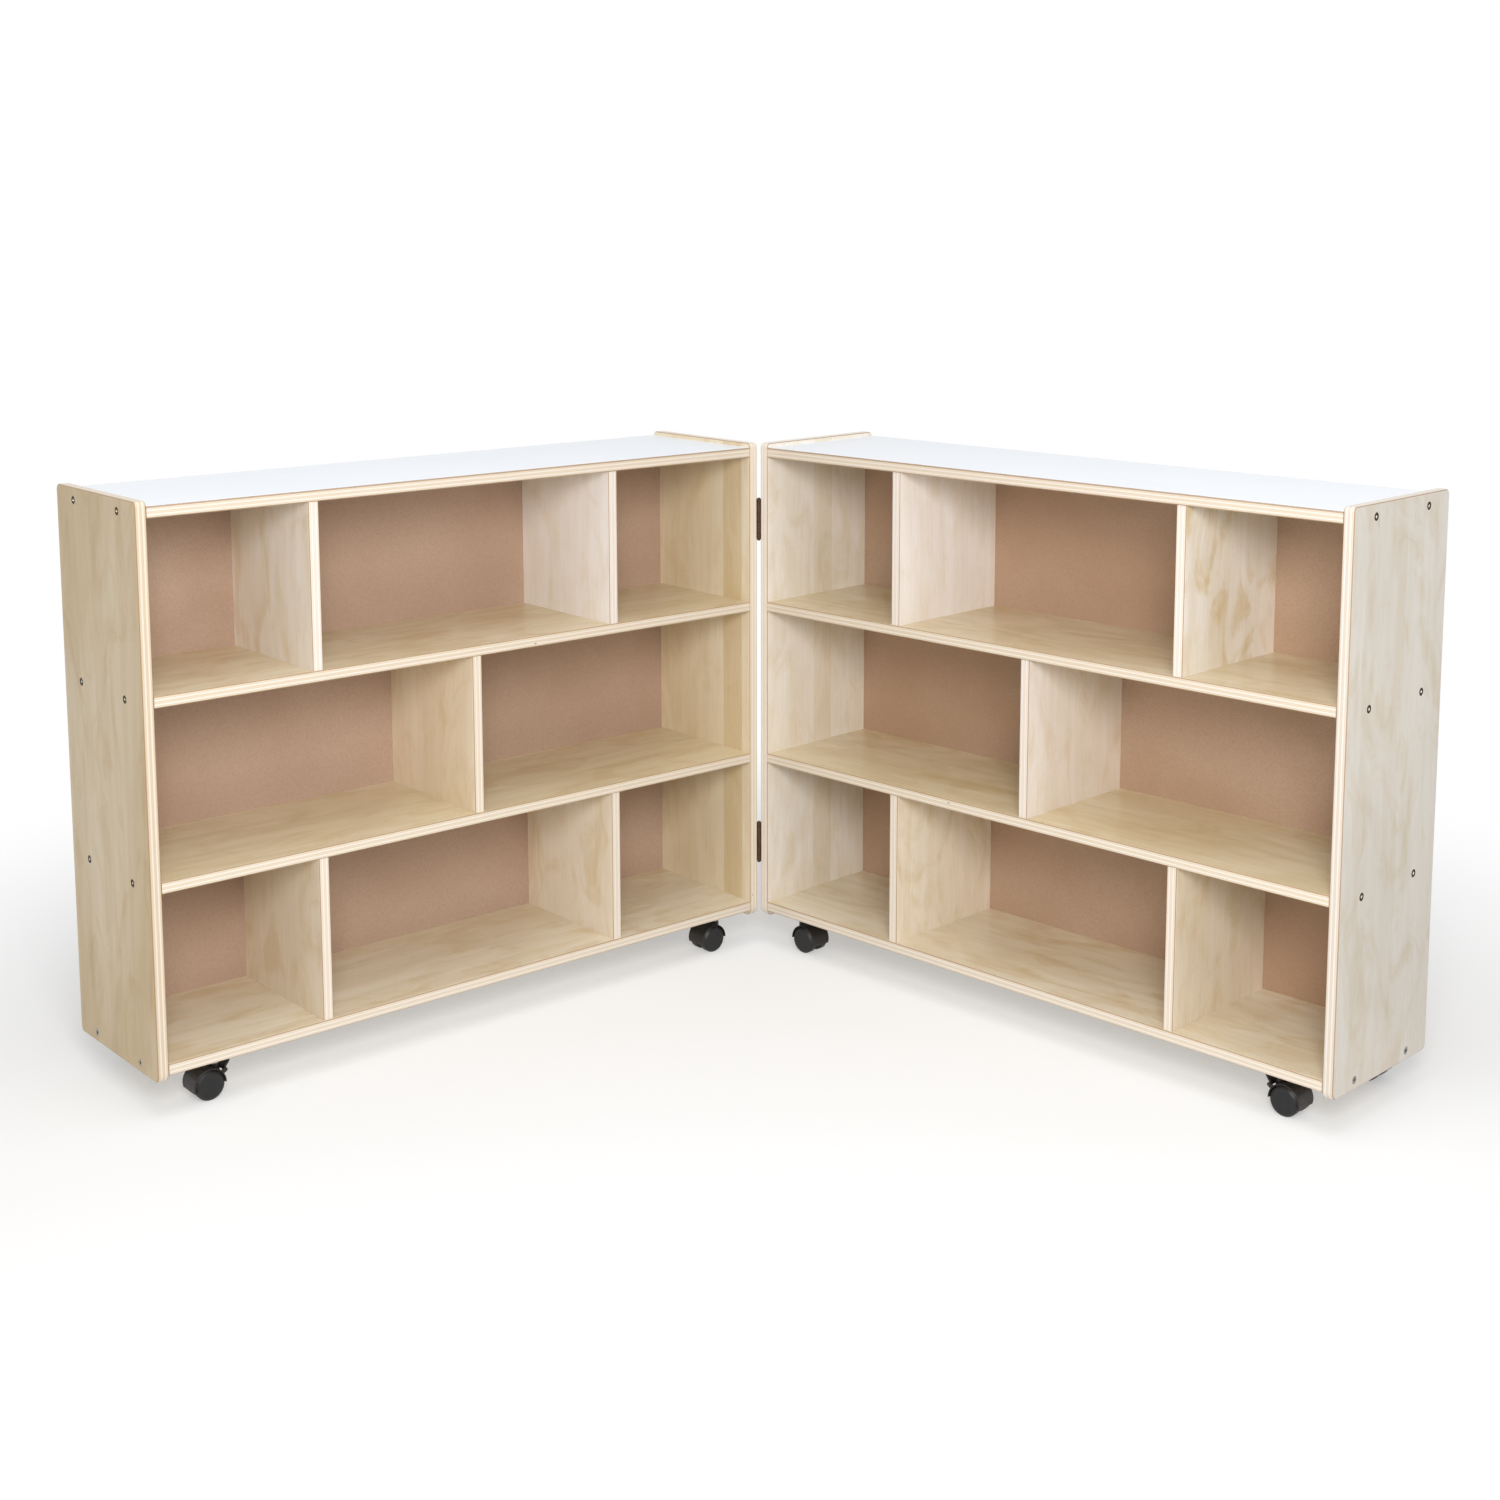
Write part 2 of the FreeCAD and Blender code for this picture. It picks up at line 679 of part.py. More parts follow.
def side_screws(side):
    """The screws that hold the boards, through both side panels."""
    solid = countersunk_screw("screw_shank", "screw_head", "screw_head_depth", "screw_length")
    inward = 1 if side == "left" else -1
    outer, inner = across(side, "(unit_width - screw_sink)"), across(side, "screw_sink")
    places = []
    for y, z in panel_screw_places():
        places.append(((outer, y, z), (inward, 0, 0)))
        places.append(((inner, y, z), (-inward, 0, 0)))
    return add_screws(side, "side_screws", solid, places)


def hinge_screws(side):
    """The screws that hold the hinge leaves to the inner side panel."""
    solid = countersunk_screw("hinge_screw_shank", "hinge_screw_head", HINGE_SCREW_SLOPE, "hinge_screw_length")
    outward = -1 if side == "left" else 1
    face = across(side, "(0 - leaf_thickness)")
    places = [((face, y, z), (outward, 0, 0)) for y, z in hinge_screw_places()]
    return add_screws(side, "hinge_screws", solid, places)


def plate_screws(side):
    """The pan-head screws that hold the caster plates up against the bottom shelf."""
    head, rise = value("plate_screw_head"), value("plate_screw_head_height")
    shank, length = value("plate_screw_shank"), value("plate_screw_length")
    solid = screw_solid([(0, -rise), (head - rise / 2, -rise), (head, -rise / 2), (head, 0),
                         (shank, 0), (shank, length), (0, length)])
    level = "(caster_height - plate_thickness)"
    places = [((x, y, level), (0, 0, 1)) for x, y in plate_holes(side)]
    return add_screws(side, "caster_plate_screws", solid, places)


# Hinges


def hinge_leaves(side):
    """Two butt hinge leaves with their share of the knuckles."""
    body = new_body(f"{side}_hinge_leaves")
    start, _ = span(side, "(0 - leaf_thickness)", "0")
    plate = new_sketch(body, "YZ_Plane", start)
    for height in HINGE_HEIGHTS:
        low, high = f"({height} - leaf_height / 2)", f"({height} + leaf_height / 2)"
        add_rectangle(plate, "0", "leaf_width", low, high)
    add_pad(body, plate, "leaf_thickness")
    round_edges(body, "leaf_corner", leaf_corner_edge)
    for height in HINGE_HEIGHTS:
        barrel = new_sketch(body, "XY_Plane", f"({height} - leaf_height / 2)")
        add_circle(barrel, "0", "0", "knuckle_radius")
        add_pad(body, barrel, "leaf_height")
    for height in HINGE_HEIGHTS:
        for step in range(KNUCKLES):
            if step not in OWN_KNUCKLES[side]:
                clear_knuckle(body, height, step)
    bore = new_sketch(body, "XY_Plane", PANEL_HEAD)
    add_circle(bore, "0", "0", "(pin_radius + running_fit)")
    add_pocket(body, bore, PANEL_HEIGHT)
    exposed = across(side, "(0 - leaf_thickness)")
    add_countersunk_holes(body, exposed, side == "right", hinge_screw_places(), *HINGE_SCREW)
    return stand(body, side)


def leaf_corner_edge(edge, box):
    """A short edge at a rear corner of a hinge leaf."""
    return near(edge.BoundBox.YMin, box.YMax) and near(edge.BoundBox.XLength, box.XLength)


def clear_knuckle(body, height, step):
    """Room around the pin for one knuckle of the other leaf."""
    knuckle = f"(leaf_height / {KNUCKLES})"
    top = f"({height} - leaf_height / 2 + {step + 1} * {knuckle} + knuckle_gap / 2)"
    sketch = new_sketch(body, "XY_Plane", top)
    add_circle(sketch, "0", "0", "(knuckle_radius + knuckle_gap)")
    add_pocket(body, sketch, f"({knuckle} + knuckle_gap)")


def hinge_pins():
    """The two hinge pins with their button heads, carried by the left leaves."""
    body = new_body("hinge_pins")
    sketch = new_sketch(body, "XZ_Plane")
    for height in HINGE_HEIGHTS:
        low, high = f"({height} - leaf_height / 2)", f"({height} + leaf_height / 2)"
        tip = "(pin_head - pin_head_height / 2)"
        add_outline(sketch, [
            ("0", f"({low} - pin_head_height)"), (tip, f"({low} - pin_head_height)"),
            ("pin_head", f"({low} - pin_head_height / 2)"), ("pin_head", low), ("pin_radius", low),
            ("pin_radius", high), ("pin_head", high), ("pin_head", f"({high} + pin_head_height / 2)"),
            (tip, f"({high} + pin_head_height)"), ("0", f"({high} + pin_head_height)"),
        ])
    add_revolution(body, sketch, "V_Axis")
    return stand(body, "left")


# Casters. Each is made about its swivel axis, trailing along +X, with z = 0 under the bottom shelf.


def caster_places(side):
    """The place of each caster's swivel axis in the cabinet's frame."""
    return [(across(side, where), deep(depth)) for _, where, depth, _, _ in CASTERS]


def plate_holes(side):
    """The place of each caster plate's screw holes in the cabinet's frame."""
    ways = ("+", "-")
    return [(f"({x} {along} plate_hole_length / 2)", f"({y} {aside} plate_hole_width / 2)")
            for x, y in caster_places(side) for along in ways for aside in ways]


def circles_at_casters(body, side, level, radius):
    """A sketch with a circle about each swivel axis."""
    sketch = new_sketch(body, "XY_Plane", level)
    for x, y in caster_places(side):
        add_circle(sketch, x, y, radius)
    return sketch


def caster_plates(side):
    """Four steel top plates, each with the neck that its caster swivels on."""
    body = new_body(f"{side}_caster_plates")
    underside = "(caster_height - plate_thickness)"
    plates = new_sketch(body, "XY_Plane", underside)
    for x, y in caster_places(side):
        add_rectangle(plates, f"({x} - plate_length / 2)", f"({x} + plate_length / 2)",
                      f"({y} - plate_width / 2)", f"({y} + plate_width / 2)")
    add_pad(body, plates, "plate_thickness")
    round_edges(body, "plate_corner", upright_edge)
    add_pad(body, circles_at_casters(body, side, underside, "neck_radius"), "neck_drop", reverse=True)
    bores = circles_at_casters(body, side, "caster_height", "(king_pin + running_fit)")
    add_pocket(body, bores, NECK_END_DROP)
    holes = new_sketch(body, "XY_Plane", "caster_height")
    for x, y in plate_holes(side):
        add_circle(holes, x, y, "plate_hole")
    add_pocket(body, holes, "plate_thickness")
    return stand(body, side)


def king_pins(side):
    """The pins that hang the hoods from the plates, up through the necks to the bottom shelf."""
    body = new_body(f"{side}_king_pins")
    pins = circles_at_casters(body, side, "caster_height", "king_pin")
    add_pad(body, pins, f"({NECK_END_DROP} + king_pin_reach)", reverse=True)
    return stand(body, side)


def to_both_sides(body, draw, start, length, cut=False):
    """The same outline grown or cut outwards on both sides of a caster."""
    for upper in (False, True):
        sketch = new_sketch(body, "XZ_Plane", f"(0 - {start})" if upper else start)
        draw(sketch)
        if cut:
            add_pocket(body, sketch, length, reverse=not upper)
        else:
            add_pad(body, sketch, length, reverse=upper)


def add_hood_outline(sketch):
    """The hood's side view: an arc over the wheels closed by its lower edge."""
    centre = FreeCAD.Vector(value("trail"), value(f"(0 - {AXLE_DROP})"), 0)
    drop = math.asin(value("hood_rear_drop / hood_radius"))
    circle = Part.Circle(centre, FreeCAD.Vector(0, 0, 1), value("hood_radius"))
    arc = sketch.addGeometry(Part.ArcOfCircle(circle, -drop, math.pi), False)
    ends = sketch.Geometry[arc].EndPoint, sketch.Geometry[arc].StartPoint
    chord = sketch.addGeometry(Part.LineSegment(*ends), False)
    sketch.addConstraint(Sketcher.Constraint("Coincident", arc, 2, chord, 1))
    sketch.addConstraint(Sketcher.Constraint("Coincident", chord, 2, arc, 1))
    pin_point(sketch, arc, 3, "trail", f"(0 - {AXLE_DROP})")
    constrain(sketch, "Radius", arc, text="hood_radius")
    constrain(sketch, "DistanceY", -1, 1, arc, 2, text=f"(0 - {AXLE_DROP})")
    constrain(sketch, "DistanceY", -1, 1, arc, 1, text=f"(0 - {AXLE_DROP} - hood_rear_drop)")


def rim_edge(edge, box):
    """The curved edge at either side of the hood."""
    bounds = edge.BoundBox
    at_side = near(bounds.YMin, box.YMax) or near(bounds.YMax, box.YMin)
    return at_side and isinstance(edge.Curve, Part.Circle)


def caster_hood(side, caster):
    """The swivelling hood: a shell over both wheels, a web between them and a seat for the neck."""
    name, _, _, _, braked = caster
    body = new_body(f"{side}_{name}_caster_hood")
    outline = new_sketch(body, "XZ_Plane")
    add_hood_outline(outline)
    add_pad(body, outline, "hood_width", midplane=True)
    round_edges(body, "hood_edge", rim_edge)
    seat = new_sketch(body, "XY_Plane", f"(0 - {HOOD_TOP_DROP})")
    add_circle(seat, "0", "0", "neck_radius")
    add_pad(body, seat, f"({AXLE_DROP} - {HOOD_TOP_DROP})", reverse=True)
    if braked:
        to_both_sides(body, add_ear, EAR_START, "ear_thickness")
        to_both_sides(body, add_ear_eye, EAR_START, "ear_thickness")
    to_both_sides(body, add_wheel_bay, "(web / 2)", "hood_width", cut=True)
    hub = new_sketch(body, "XZ_Plane")
    add_circle(hub, "trail", f"(0 - {AXLE_DROP})", "web_hub")
    add_pad(body, hub, "web", midplane=True)
    axle = new_sketch(body, "XZ_Plane")
    add_circle(axle, "trail", f"(0 - {AXLE_DROP})", "(axle_radius + running_fit)")
    add_pocket(body, axle, "hood_width", midplane=True)
    socket = new_sketch(body, "XY_Plane", f"(0 - {HOOD_TOP_DROP})")
    add_circle(socket, "0", "0", "(king_pin + running_fit)")
    add_pocket(body, socket, "king_pin_reach")
    if braked:
        slot_width = "(brake_arm_outer - brake_arm_inner + 2 * brake_side_gap)"
        to_both_sides(body, add_brake_slot, "(brake_arm_inner - brake_side_gap)", slot_width, cut=True)
        holes = new_sketch(body, "XZ_Plane")
        add_circle(holes, PIVOT_X, PIVOT_Z, "(stub_radius + running_fit)")
        add_pocket(body, holes, "hood_width", midplane=True)
    return stand_caster(body, side, caster)


def add_wheel_bay(sketch):
    """The room for a wheel inside the hood."""
    add_circle(sketch, "trail", f"(0 - {AXLE_DROP})", "(hood_radius - hood_wall)")


def bar_outline(along_x, along_z, length, root, tip):
    """The corners of a tapered bar that starts at the pedal's pivot."""
    corners = []
    for reach, width in (("0", root), ("0", f"(0 - {root})"), (length, f"(0 - {tip})"), (length, tip)):
        corners.append((f"({PIVOT_X} + {along_x} * {reach} - {along_z} * {width} / 2)",
                        f"({PIVOT_Z} + {along_z} * {reach} + {along_x} * {width} / 2)"))
    return corners


def add_ear(sketch):
    """An ear of the hood that carries the pedal's pivot, rooted in the shell."""
    root = f"({LINK} - hood_radius + hood_wall / 2)"
    width = "(2 * ear_radius)"
    add_outline(sketch, bar_outline(f"({LINK_X} / {LINK})", f"({LINK_Z} / {LINK})", root, width, width))


def add_ear_eye(sketch):
    """The round end of an ear, about the pedal's pivot."""
    add_circle(sketch, PIVOT_X, PIVOT_Z, "ear_radius")


def add_brake_slot(sketch):
    """The slot in the shell that a brake arm reaches through."""
    add_circle(sketch, PIVOT_X, PIVOT_Z, "(brake_arm + brake_side_gap)")


def add_brake_arm(sketch):
    """An arm from the pivot to just clear of the tread."""
    add_outline(sketch, bar_outline(ARM_X, ARM_Z, "brake_arm", "brake_arm_width", "brake_arm_width"))


def brake_pedal(side, caster):
    """The brake pedal: a tapered lever, its hub and stub pins, and two arms towards the treads."""
    body = new_body(f"{side}_{caster[0]}_brake_pedal")
    hub = new_sketch(body, "XZ_Plane")
    add_circle(hub, PIVOT_X, PIVOT_Z, "pedal_hub")
    add_pad(body, hub, "(2 * brake_arm_outer)", midplane=True)
    lever = new_sketch(body, "XZ_Plane")
    slope = ("cos(pedal_slope)", "sin(pedal_slope)")
    add_outline(lever, bar_outline(*slope, "pedal_reach", "pedal_root", "pedal_tip"))
    add_pad(body, lever, "pedal_width", midplane=True)
    to_both_sides(body, add_brake_arm, "brake_arm_inner", "(brake_arm_outer - brake_arm_inner)")
    stubs = new_sketch(body, "XZ_Plane")
    add_circle(stubs, PIVOT_X, PIVOT_Z, "stub_radius")
    add_pad(body, stubs, f"(2 * ({EAR_START} + ear_thickness))", midplane=True)
    return stand_caster(body, side, caster)


def wheel_pair(side, caster):
    """Two wheels and the steel axle that joins them, turned about the axle."""
    body = new_body(f"{side}_{caster[0]}_wheel_pair")
    sketch = new_sketch(body, "XY_Plane", f"(0 - {AXLE_DROP})", ("trail", "0"))
    bore = "(axle_radius + axle_press)"
    dish = f"({WHEEL_INNER} + wheel_dish)"
    rim = "(wheel_radius - wheel_rim)"
    shoulder = "(wheel_radius - tread_round)"
    cap = "(wheel_radius - hub_cap_inset)"
    cap_face = f"({WHEEL_OUTER} + hub_cap_step)"
    axle_end = f"({WHEEL_OUTER} - hub_cap_step)"
    profile = [
        (bore, WHEEL_INNER), ("hub_radius", WHEEL_INNER), ("hub_radius", dish), (rim, dish),
        (rim, WHEEL_INNER), (shoulder, WHEEL_INNER), ("wheel_radius", f"({WHEEL_INNER} + tread_round)"),
        ("wheel_radius", f"({WHEEL_OUTER} - tread_round)"), (shoulder, WHEEL_OUTER), (cap, WHEEL_OUTER),
        (f"({cap} - hub_cap_step)", cap_face), ("0", cap_face), ("0", f"({axle_end} + seat_gap)"),
        (bore, f"({axle_end} + seat_gap)"),
    ]
    add_outline(sketch, profile)
    add_outline(sketch, [(x, f"(0 - {y})") for x, y in reversed(profile)])
    add_rectangle(sketch, "0", "axle_radius", f"(0 - {axle_end})", axle_end)
    add_revolution(body, sketch, "V_Axis")
    return stand_caster(body, side, caster)


def cabinet(side):
    """Every piece of one cabinet."""
    bays_low = side == "left"
    side_panel(side, "outer_side_panel", BOARD_FAR, "unit_width", not bays_low)
    side_panel(side, "inner_side_panel", "0", BOARD_NEAR, bays_low)
    top_board(side)
    top_laminate(side)
    shelf(side, "upper_shelf", UPPER, TOP_ROW, MIDDLE_ROW)
    shelf(side, "lower_shelf", LOWER, MIDDLE_ROW, TOP_ROW)
    bottom_shelf(side)
    back_panel(side)
    divider(side, "top_outer_divider", OUTER_DIVIDER, UPPER)
    divider(side, "top_inner_divider", INNER_DIVIDER, UPPER)
    divider(side, "centre_divider", CENTRE_DIVIDER, LOWER)
    divider(side, "bottom_outer_divider", OUTER_DIVIDER, BASE)
    divider(side, "bottom_inner_divider", INNER_DIVIDER, BASE)
    side_screws(side)
    hinge_leaves(side)
    hinge_screws(side)
    caster_plates(side)
    king_pins(side)
    plate_screws(side)
    for caster in CASTERS:
        caster_hood(side, caster)
        wheel_pair(side, caster)
        if caster[4]:
            brake_pedal(side, caster)


def check_and_write():
    """Checks every object and writes each piece to its own file."""
    doc.recompute()
    for item in doc.Objects:
        if "Invalid" in item.State or "Error" in item.State:
            raise RuntimeError(f"{item.Name} failed: {item.State}")
    for piece in parts:
        if piece.Shape.isNull() or not piece.Shape.isValid():
            raise RuntimeError(f"{piece.Label} has no sound shape")
    os.makedirs("parts", exist_ok=True)
    for piece in parts:
        piece.Shape.exportStep(f"parts/{piece.Label}.step")
        print(f"{piece.Label}: {len(piece.Shape.Solids)} solids, {piece.Shape.Volume:.1f} mm3")
    print(f"{len(parts)} pieces")


for side in SIDES:
    cabinet(side)
hinge_pins()
check_and_write()
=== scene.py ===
import json
import math

import bmesh
import bpy
from mathutils import Matrix, Vector

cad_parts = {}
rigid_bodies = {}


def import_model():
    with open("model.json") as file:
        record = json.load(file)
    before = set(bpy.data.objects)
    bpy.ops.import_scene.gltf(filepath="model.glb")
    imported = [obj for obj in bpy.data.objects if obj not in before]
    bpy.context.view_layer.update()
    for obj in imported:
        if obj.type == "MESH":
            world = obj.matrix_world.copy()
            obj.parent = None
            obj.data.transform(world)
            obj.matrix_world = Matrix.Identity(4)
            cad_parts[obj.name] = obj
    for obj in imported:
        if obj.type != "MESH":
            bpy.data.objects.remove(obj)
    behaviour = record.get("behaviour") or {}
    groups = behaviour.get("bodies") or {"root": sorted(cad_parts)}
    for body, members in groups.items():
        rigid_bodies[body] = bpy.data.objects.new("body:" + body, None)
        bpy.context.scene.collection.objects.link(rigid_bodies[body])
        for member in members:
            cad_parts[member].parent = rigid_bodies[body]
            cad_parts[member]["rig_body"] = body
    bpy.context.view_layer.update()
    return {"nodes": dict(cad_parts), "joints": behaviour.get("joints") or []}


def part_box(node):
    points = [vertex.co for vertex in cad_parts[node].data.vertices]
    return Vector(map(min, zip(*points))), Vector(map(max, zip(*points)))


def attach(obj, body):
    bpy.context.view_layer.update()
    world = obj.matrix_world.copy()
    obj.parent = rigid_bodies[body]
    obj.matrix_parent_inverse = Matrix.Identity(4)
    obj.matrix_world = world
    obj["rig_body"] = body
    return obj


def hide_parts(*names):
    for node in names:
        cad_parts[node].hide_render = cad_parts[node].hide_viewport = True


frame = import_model()

# Sizes and places are metres in the part's own frame. A cabinet's frame has its origin at the hinge
# pins, X along the cabinet and Y from its open front towards its back.
FOLD = next(joint for joint in frame["joints"] if joint["name"] == "cabinet_fold")
PINS = Vector(FOLD["pos_m"])
TURNS = {"left": 0.0, "right": -math.radians(FOLD["range_deg"][1])}

LYING_BOARDS = ("top_board", "upper_shelf", "lower_shelf", "bottom_shelf")
UPRIGHT_BOARDS = (
    "outer_side_panel", "inner_side_panel", "top_outer_divider", "top_inner_divider",
    "centre_divider", "bottom_outer_divider", "bottom_inner_divider",
)
CASTERS = ("front_outer", "front_inner", "rear_outer", "rear_inner")
UP = Vector((0, 0, 1))

# A board's veneer, the plies between its two veneers, and the depths below a face over which the edge
# takes over and the brown line of a rounded edge comes and goes. That brown line is partly the glue
# under the veneer and partly painted shade on the rounded edge.
VENEER = 0.0006
PLIES = 5.0
EDGE_STARTS = (0.5 * VENEER, 1.3 * VENEER)
GLUE_AND_SHADE_STARTS = (0.00015, 0.00045)
GLUE_AND_SHADE_ENDS = (0.0012, 0.0021)
LAMINATE_SKIN = 0.00015

# Dust lies on the casters up to this height.
DUST_REACH = 0.045


# Nodes


def add(tree, kind, inputs=None, **settings):
    """A node with its settings made and its inputs set or joined."""
    made = tree.nodes.new(kind)
    for name, value in settings.items():
        setattr(made, name, value)
    for key, value in (inputs or {}).items():
        set_or_join(tree, made.inputs[key], value)
    return made


def set_or_join(tree, socket, value):
    """Gives a socket its value, or joins another node's output to it."""
    if isinstance(value, bpy.types.NodeSocket):
        tree.links.new(value, socket)
    else:
        socket.default_value = value


def calc(tree, operation, *values, clamp=False):
    """The result of one step of arithmetic."""
    made = add(tree, "ShaderNodeMath", dict(enumerate(values)), operation=operation, use_clamp=clamp)
    return made.outputs[0]


def times(tree, first, *others):
    """The product of several values."""
    for other in others:
        first = calc(tree, "MULTIPLY", first, other)
    return first


def plus(tree, first, *others):
    """The sum of several values."""
    for other in others:
        first = calc(tree, "ADD", first, other)
    return first


def minus(tree, first, second):
    """The difference of two values."""
    return calc(tree, "SUBTRACT", first, second)


def vector(tree, x, y, z):
    """A vector joined from three values."""
    return add(tree, "ShaderNodeCombineXYZ", {"X": x, "Y": y, "Z": z}).outputs[0]


def split(tree, point):
    """A point's three values by name."""
    return add(tree, "ShaderNodeSeparateXYZ", {0: point}).outputs


def off_axis(tree, *across):
    """The distance from an axis of a point with the given places across it."""
    squares = [calc(tree, "POWER", place, 2.0) for place in across]
    return calc(tree, "SQRT", plus(tree, *squares))


def own_point(tree):
    """The place of a spot in the part's frame."""
    return add(tree, "ShaderNodeTexCoord").outputs["Object"]


def scaled(tree, point, scales):
    """A point with its own scale on each axis."""
    return add(tree, "ShaderNodeMapping", {"Vector": point, "Scale": scales}).outputs[0]


def cloud(tree, point, scale, detail, rough, distortion=0.0):
    """Smooth noise from 0 to 1 over a point."""
    inputs = {"Vector": point, "Scale": scale, "Detail": detail, "Roughness": rough}
    inputs["Distortion"] = distortion
    return add(tree, "ShaderNodeTexNoise", inputs).outputs["Fac"]


def ramp(tree, value, low, high, low_to=0.0, high_to=1.0):
    """A value taken from one range to another, smoothly and held at both ends."""
    inputs = {"Value": value, "From Min": low, "From Max": high, "To Min": low_to, "To Max": high_to}
    return add(tree, "ShaderNodeMapRange", inputs, interpolation_type="SMOOTHSTEP").outputs["Result"]


def blend(tree, share, first, second, how="MIX"):
    """Two colours mixed by a share."""
    made = add(tree, "ShaderNodeMix", data_type="RGBA", blend_type=how, clamp_factor=True)
    sockets = {item.identifier: item for item in made.inputs}
    for key, value in (("Factor_Float", share), ("A_Color", first), ("B_Color", second)):
        set_or_join(tree, sockets[key], value)
    return next(item for item in made.outputs if item.identifier == "Result_Color")


def new_group(name, inputs, outputs):
    """An empty shader group with named inputs and outputs, and its two end nodes."""
    group = bpy.data.node_groups.new(name, "ShaderNodeTree")
    for label, kind, default in inputs:
        socket = group.interface.new_socket(label, in_out="INPUT", socket_type="NodeSocket" + kind)
        if default is not None:
            socket.default_value = default
    for label, kind in outputs:
        group.interface.new_socket(label, in_out="OUTPUT", socket_type="NodeSocket" + kind)
    return group, group.nodes.new("NodeGroupInput").outputs, group.nodes.new("NodeGroupOutput")


def send(group, end, **results):
    """Joins a group's results to its outputs."""
    for name, value in results.items():
        group.links.new(value, end.inputs[name])


def tone(red, green, blue):
    """A colour given as it looks on a screen, from 0 to 255, turned into light."""
    def light(part):
        part = part / 255
        return part / 12.92 if part <= 0.04045 else ((part + 0.055) / 1.055) ** 2.4
    return (light(red), light(green), light(blue), 1.0)


SURFACE = [("Color", "Color"), ("Roughness", "Float"), ("Height", "Float")]


# Finishes

# How fine each pattern is, in repeats to the metre. Those of the wood go along and across the grain.
WOOD_SCALES = {
    "figure": (1.5, 5.5), "clouds": (6.5, 13.0), "wander": (1.8, 3.2), "streaks": (1.3, 62.0),
    "fibre": (14.0, 820.0), "fleck": (80.0, 1400.0), "waver": (9.0, 1.0), "ply grain": (12.0, 12.0),
    "voids": (55.0, 55.0),
}
PLY_LINES = 2400.0
PLY_PORES = 1500.0
HARDBOARD_SCALES = {"drift": 3.2, "mottle": 320.0, "speck": 1100.0, "fibres": 240.0}
LAMINATE_SCALES = {"haze": 4.0, "pebble": 1300.0, "wipe": (6.0, 90.0, 1.0)}
NYLON_SCALES = {"grain": 1700.0, "flow": 38.0, "dust": 150.0, "scrape": (420.0, 60.0, 420.0)}
STEEL_SCALES = {"clouding": 160.0, "spots": 420.0, "drawn": (1900.0, 1900.0, 60.0)}

# Figure lines from the lowest level to the highest, how far streaks wander, and how far plies waver.
FIGURE_LINES = 48.0
STREAK_SWAY = 0.09
PLY_WAVER = 0.3

# What each marking of the veneer leaves of the wood's own tone.
STREAK_TINT = (0.85, 0.77, 0.59, 1)
FIGURE_TINT = (0.8, 0.71, 0.53, 1)
STAIN_TINT = (0.8, 0.68, 0.44, 1)
STRIP_TINT = (0.82, 0.73, 0.56, 1)
FIBRE_TINT = (0.8, 0.72, 0.58, 1)
FLECK_TINT = (0.6, 0.48, 0.34, 1)

PALE_WOOD = tone(250, 245, 238)
PALE_PLY = tone(233, 225, 217)
CROSS_PLY = tone(217, 202, 182)
PLY_GRAIN = tone(206, 180, 142)
PORE_BROWN = tone(182, 148, 106)
GLUE_BROWN = tone(176, 142, 104)
VOID_BROWN = tone(86, 62, 44)
# Partly the glue under the veneer and partly painted shade on a rounded edge.
EDGE_GLUE_AND_SHADE_BROWN = tone(146, 110, 76)


def grained(tree, grain, pattern, *noise):
    """Noise over a place on the wood, at the pattern's scales along the grain and across it."""
    along, across, layer = grain
    lengthwise, crosswise = WOOD_SCALES[pattern]
    point = vector(tree, times(tree, along, lengthwise), times(tree, across, crosswise), layer)
    return cloud(tree, point, 1.0, *noise)


def veneer_face(group, grain, given):
    """Rotary-cut birch with wandering figure, tan clouds, joined strips and fine fibre."""
    along, across, seed = grain
    level = grained(group, grain, "figure", 3.0, 0.45, 0.5)
    lines = ramp(group, calc(group, "SINE", times(group, level, FIGURE_LINES)), -0.9, 1.0)
    clouds = ramp(group, grained(group, grain, "clouds", 5.0, 0.58, 1.5), 0.45, 0.7)
    wander = grained(group, grain, "wander", 2.0, 0.5, 0.6)
    swayed = (along, plus(group, across, times(group, wander, STREAK_SWAY)), seed)
    streaks = ramp(group, grained(group, swayed, "streaks", 3.0, 0.55), 0.3, 0.75)
    fibre = grained(group, grain, "fibre", 2.0, 0.6)
    fleck = ramp(group, grained(group, grain, "fleck", 1.0, 0.5), 0.68, 0.78)
    strip_place = plus(group, calc(group, "DIVIDE", across, given["Strip Width"]), seed)
    cells = add(group, "ShaderNodeTexVoronoi", {"W": strip_place, "Scale": 1.0}, voronoi_dimensions="1D")
    strip = add(group, "ShaderNodeSeparateColor", {0: cells.outputs["Color"]}).outputs[0]

    colour = blend(group, ramp(group, wander, 0.35, 0.7, 0.0, 0.25), given["Wood"], PALE_WOOD)
    markings = (
        (times(group, streaks, plus(group, 0.12, times(group, given["Figure"], 0.45))), STREAK_TINT),
        (times(group, lines, given["Figure"], 0.45), FIGURE_TINT),
        (times(group, clouds, given["Mottle"], 0.85), STAIN_TINT),
        (times(group, ramp(group, strip, 0.15, 0.85), given["Strips"]), STRIP_TINT),
        (ramp(group, fibre, 0.35, 0.75, 0.0, 0.3), FIBRE_TINT),
        (times(group, fleck, 0.5), FLECK_TINT),
    )
    for share, tint in markings:
        colour = blend(group, share, colour, tint, "MULTIPLY")
    rough = plus(group, ramp(group, wander, 0.2, 0.8, 0.3, 0.4), times(group, fibre, 0.06))
    height = minus(group, times(group, fibre, 0.35), times(group, fleck, 0.3))
    return colour, rough, height


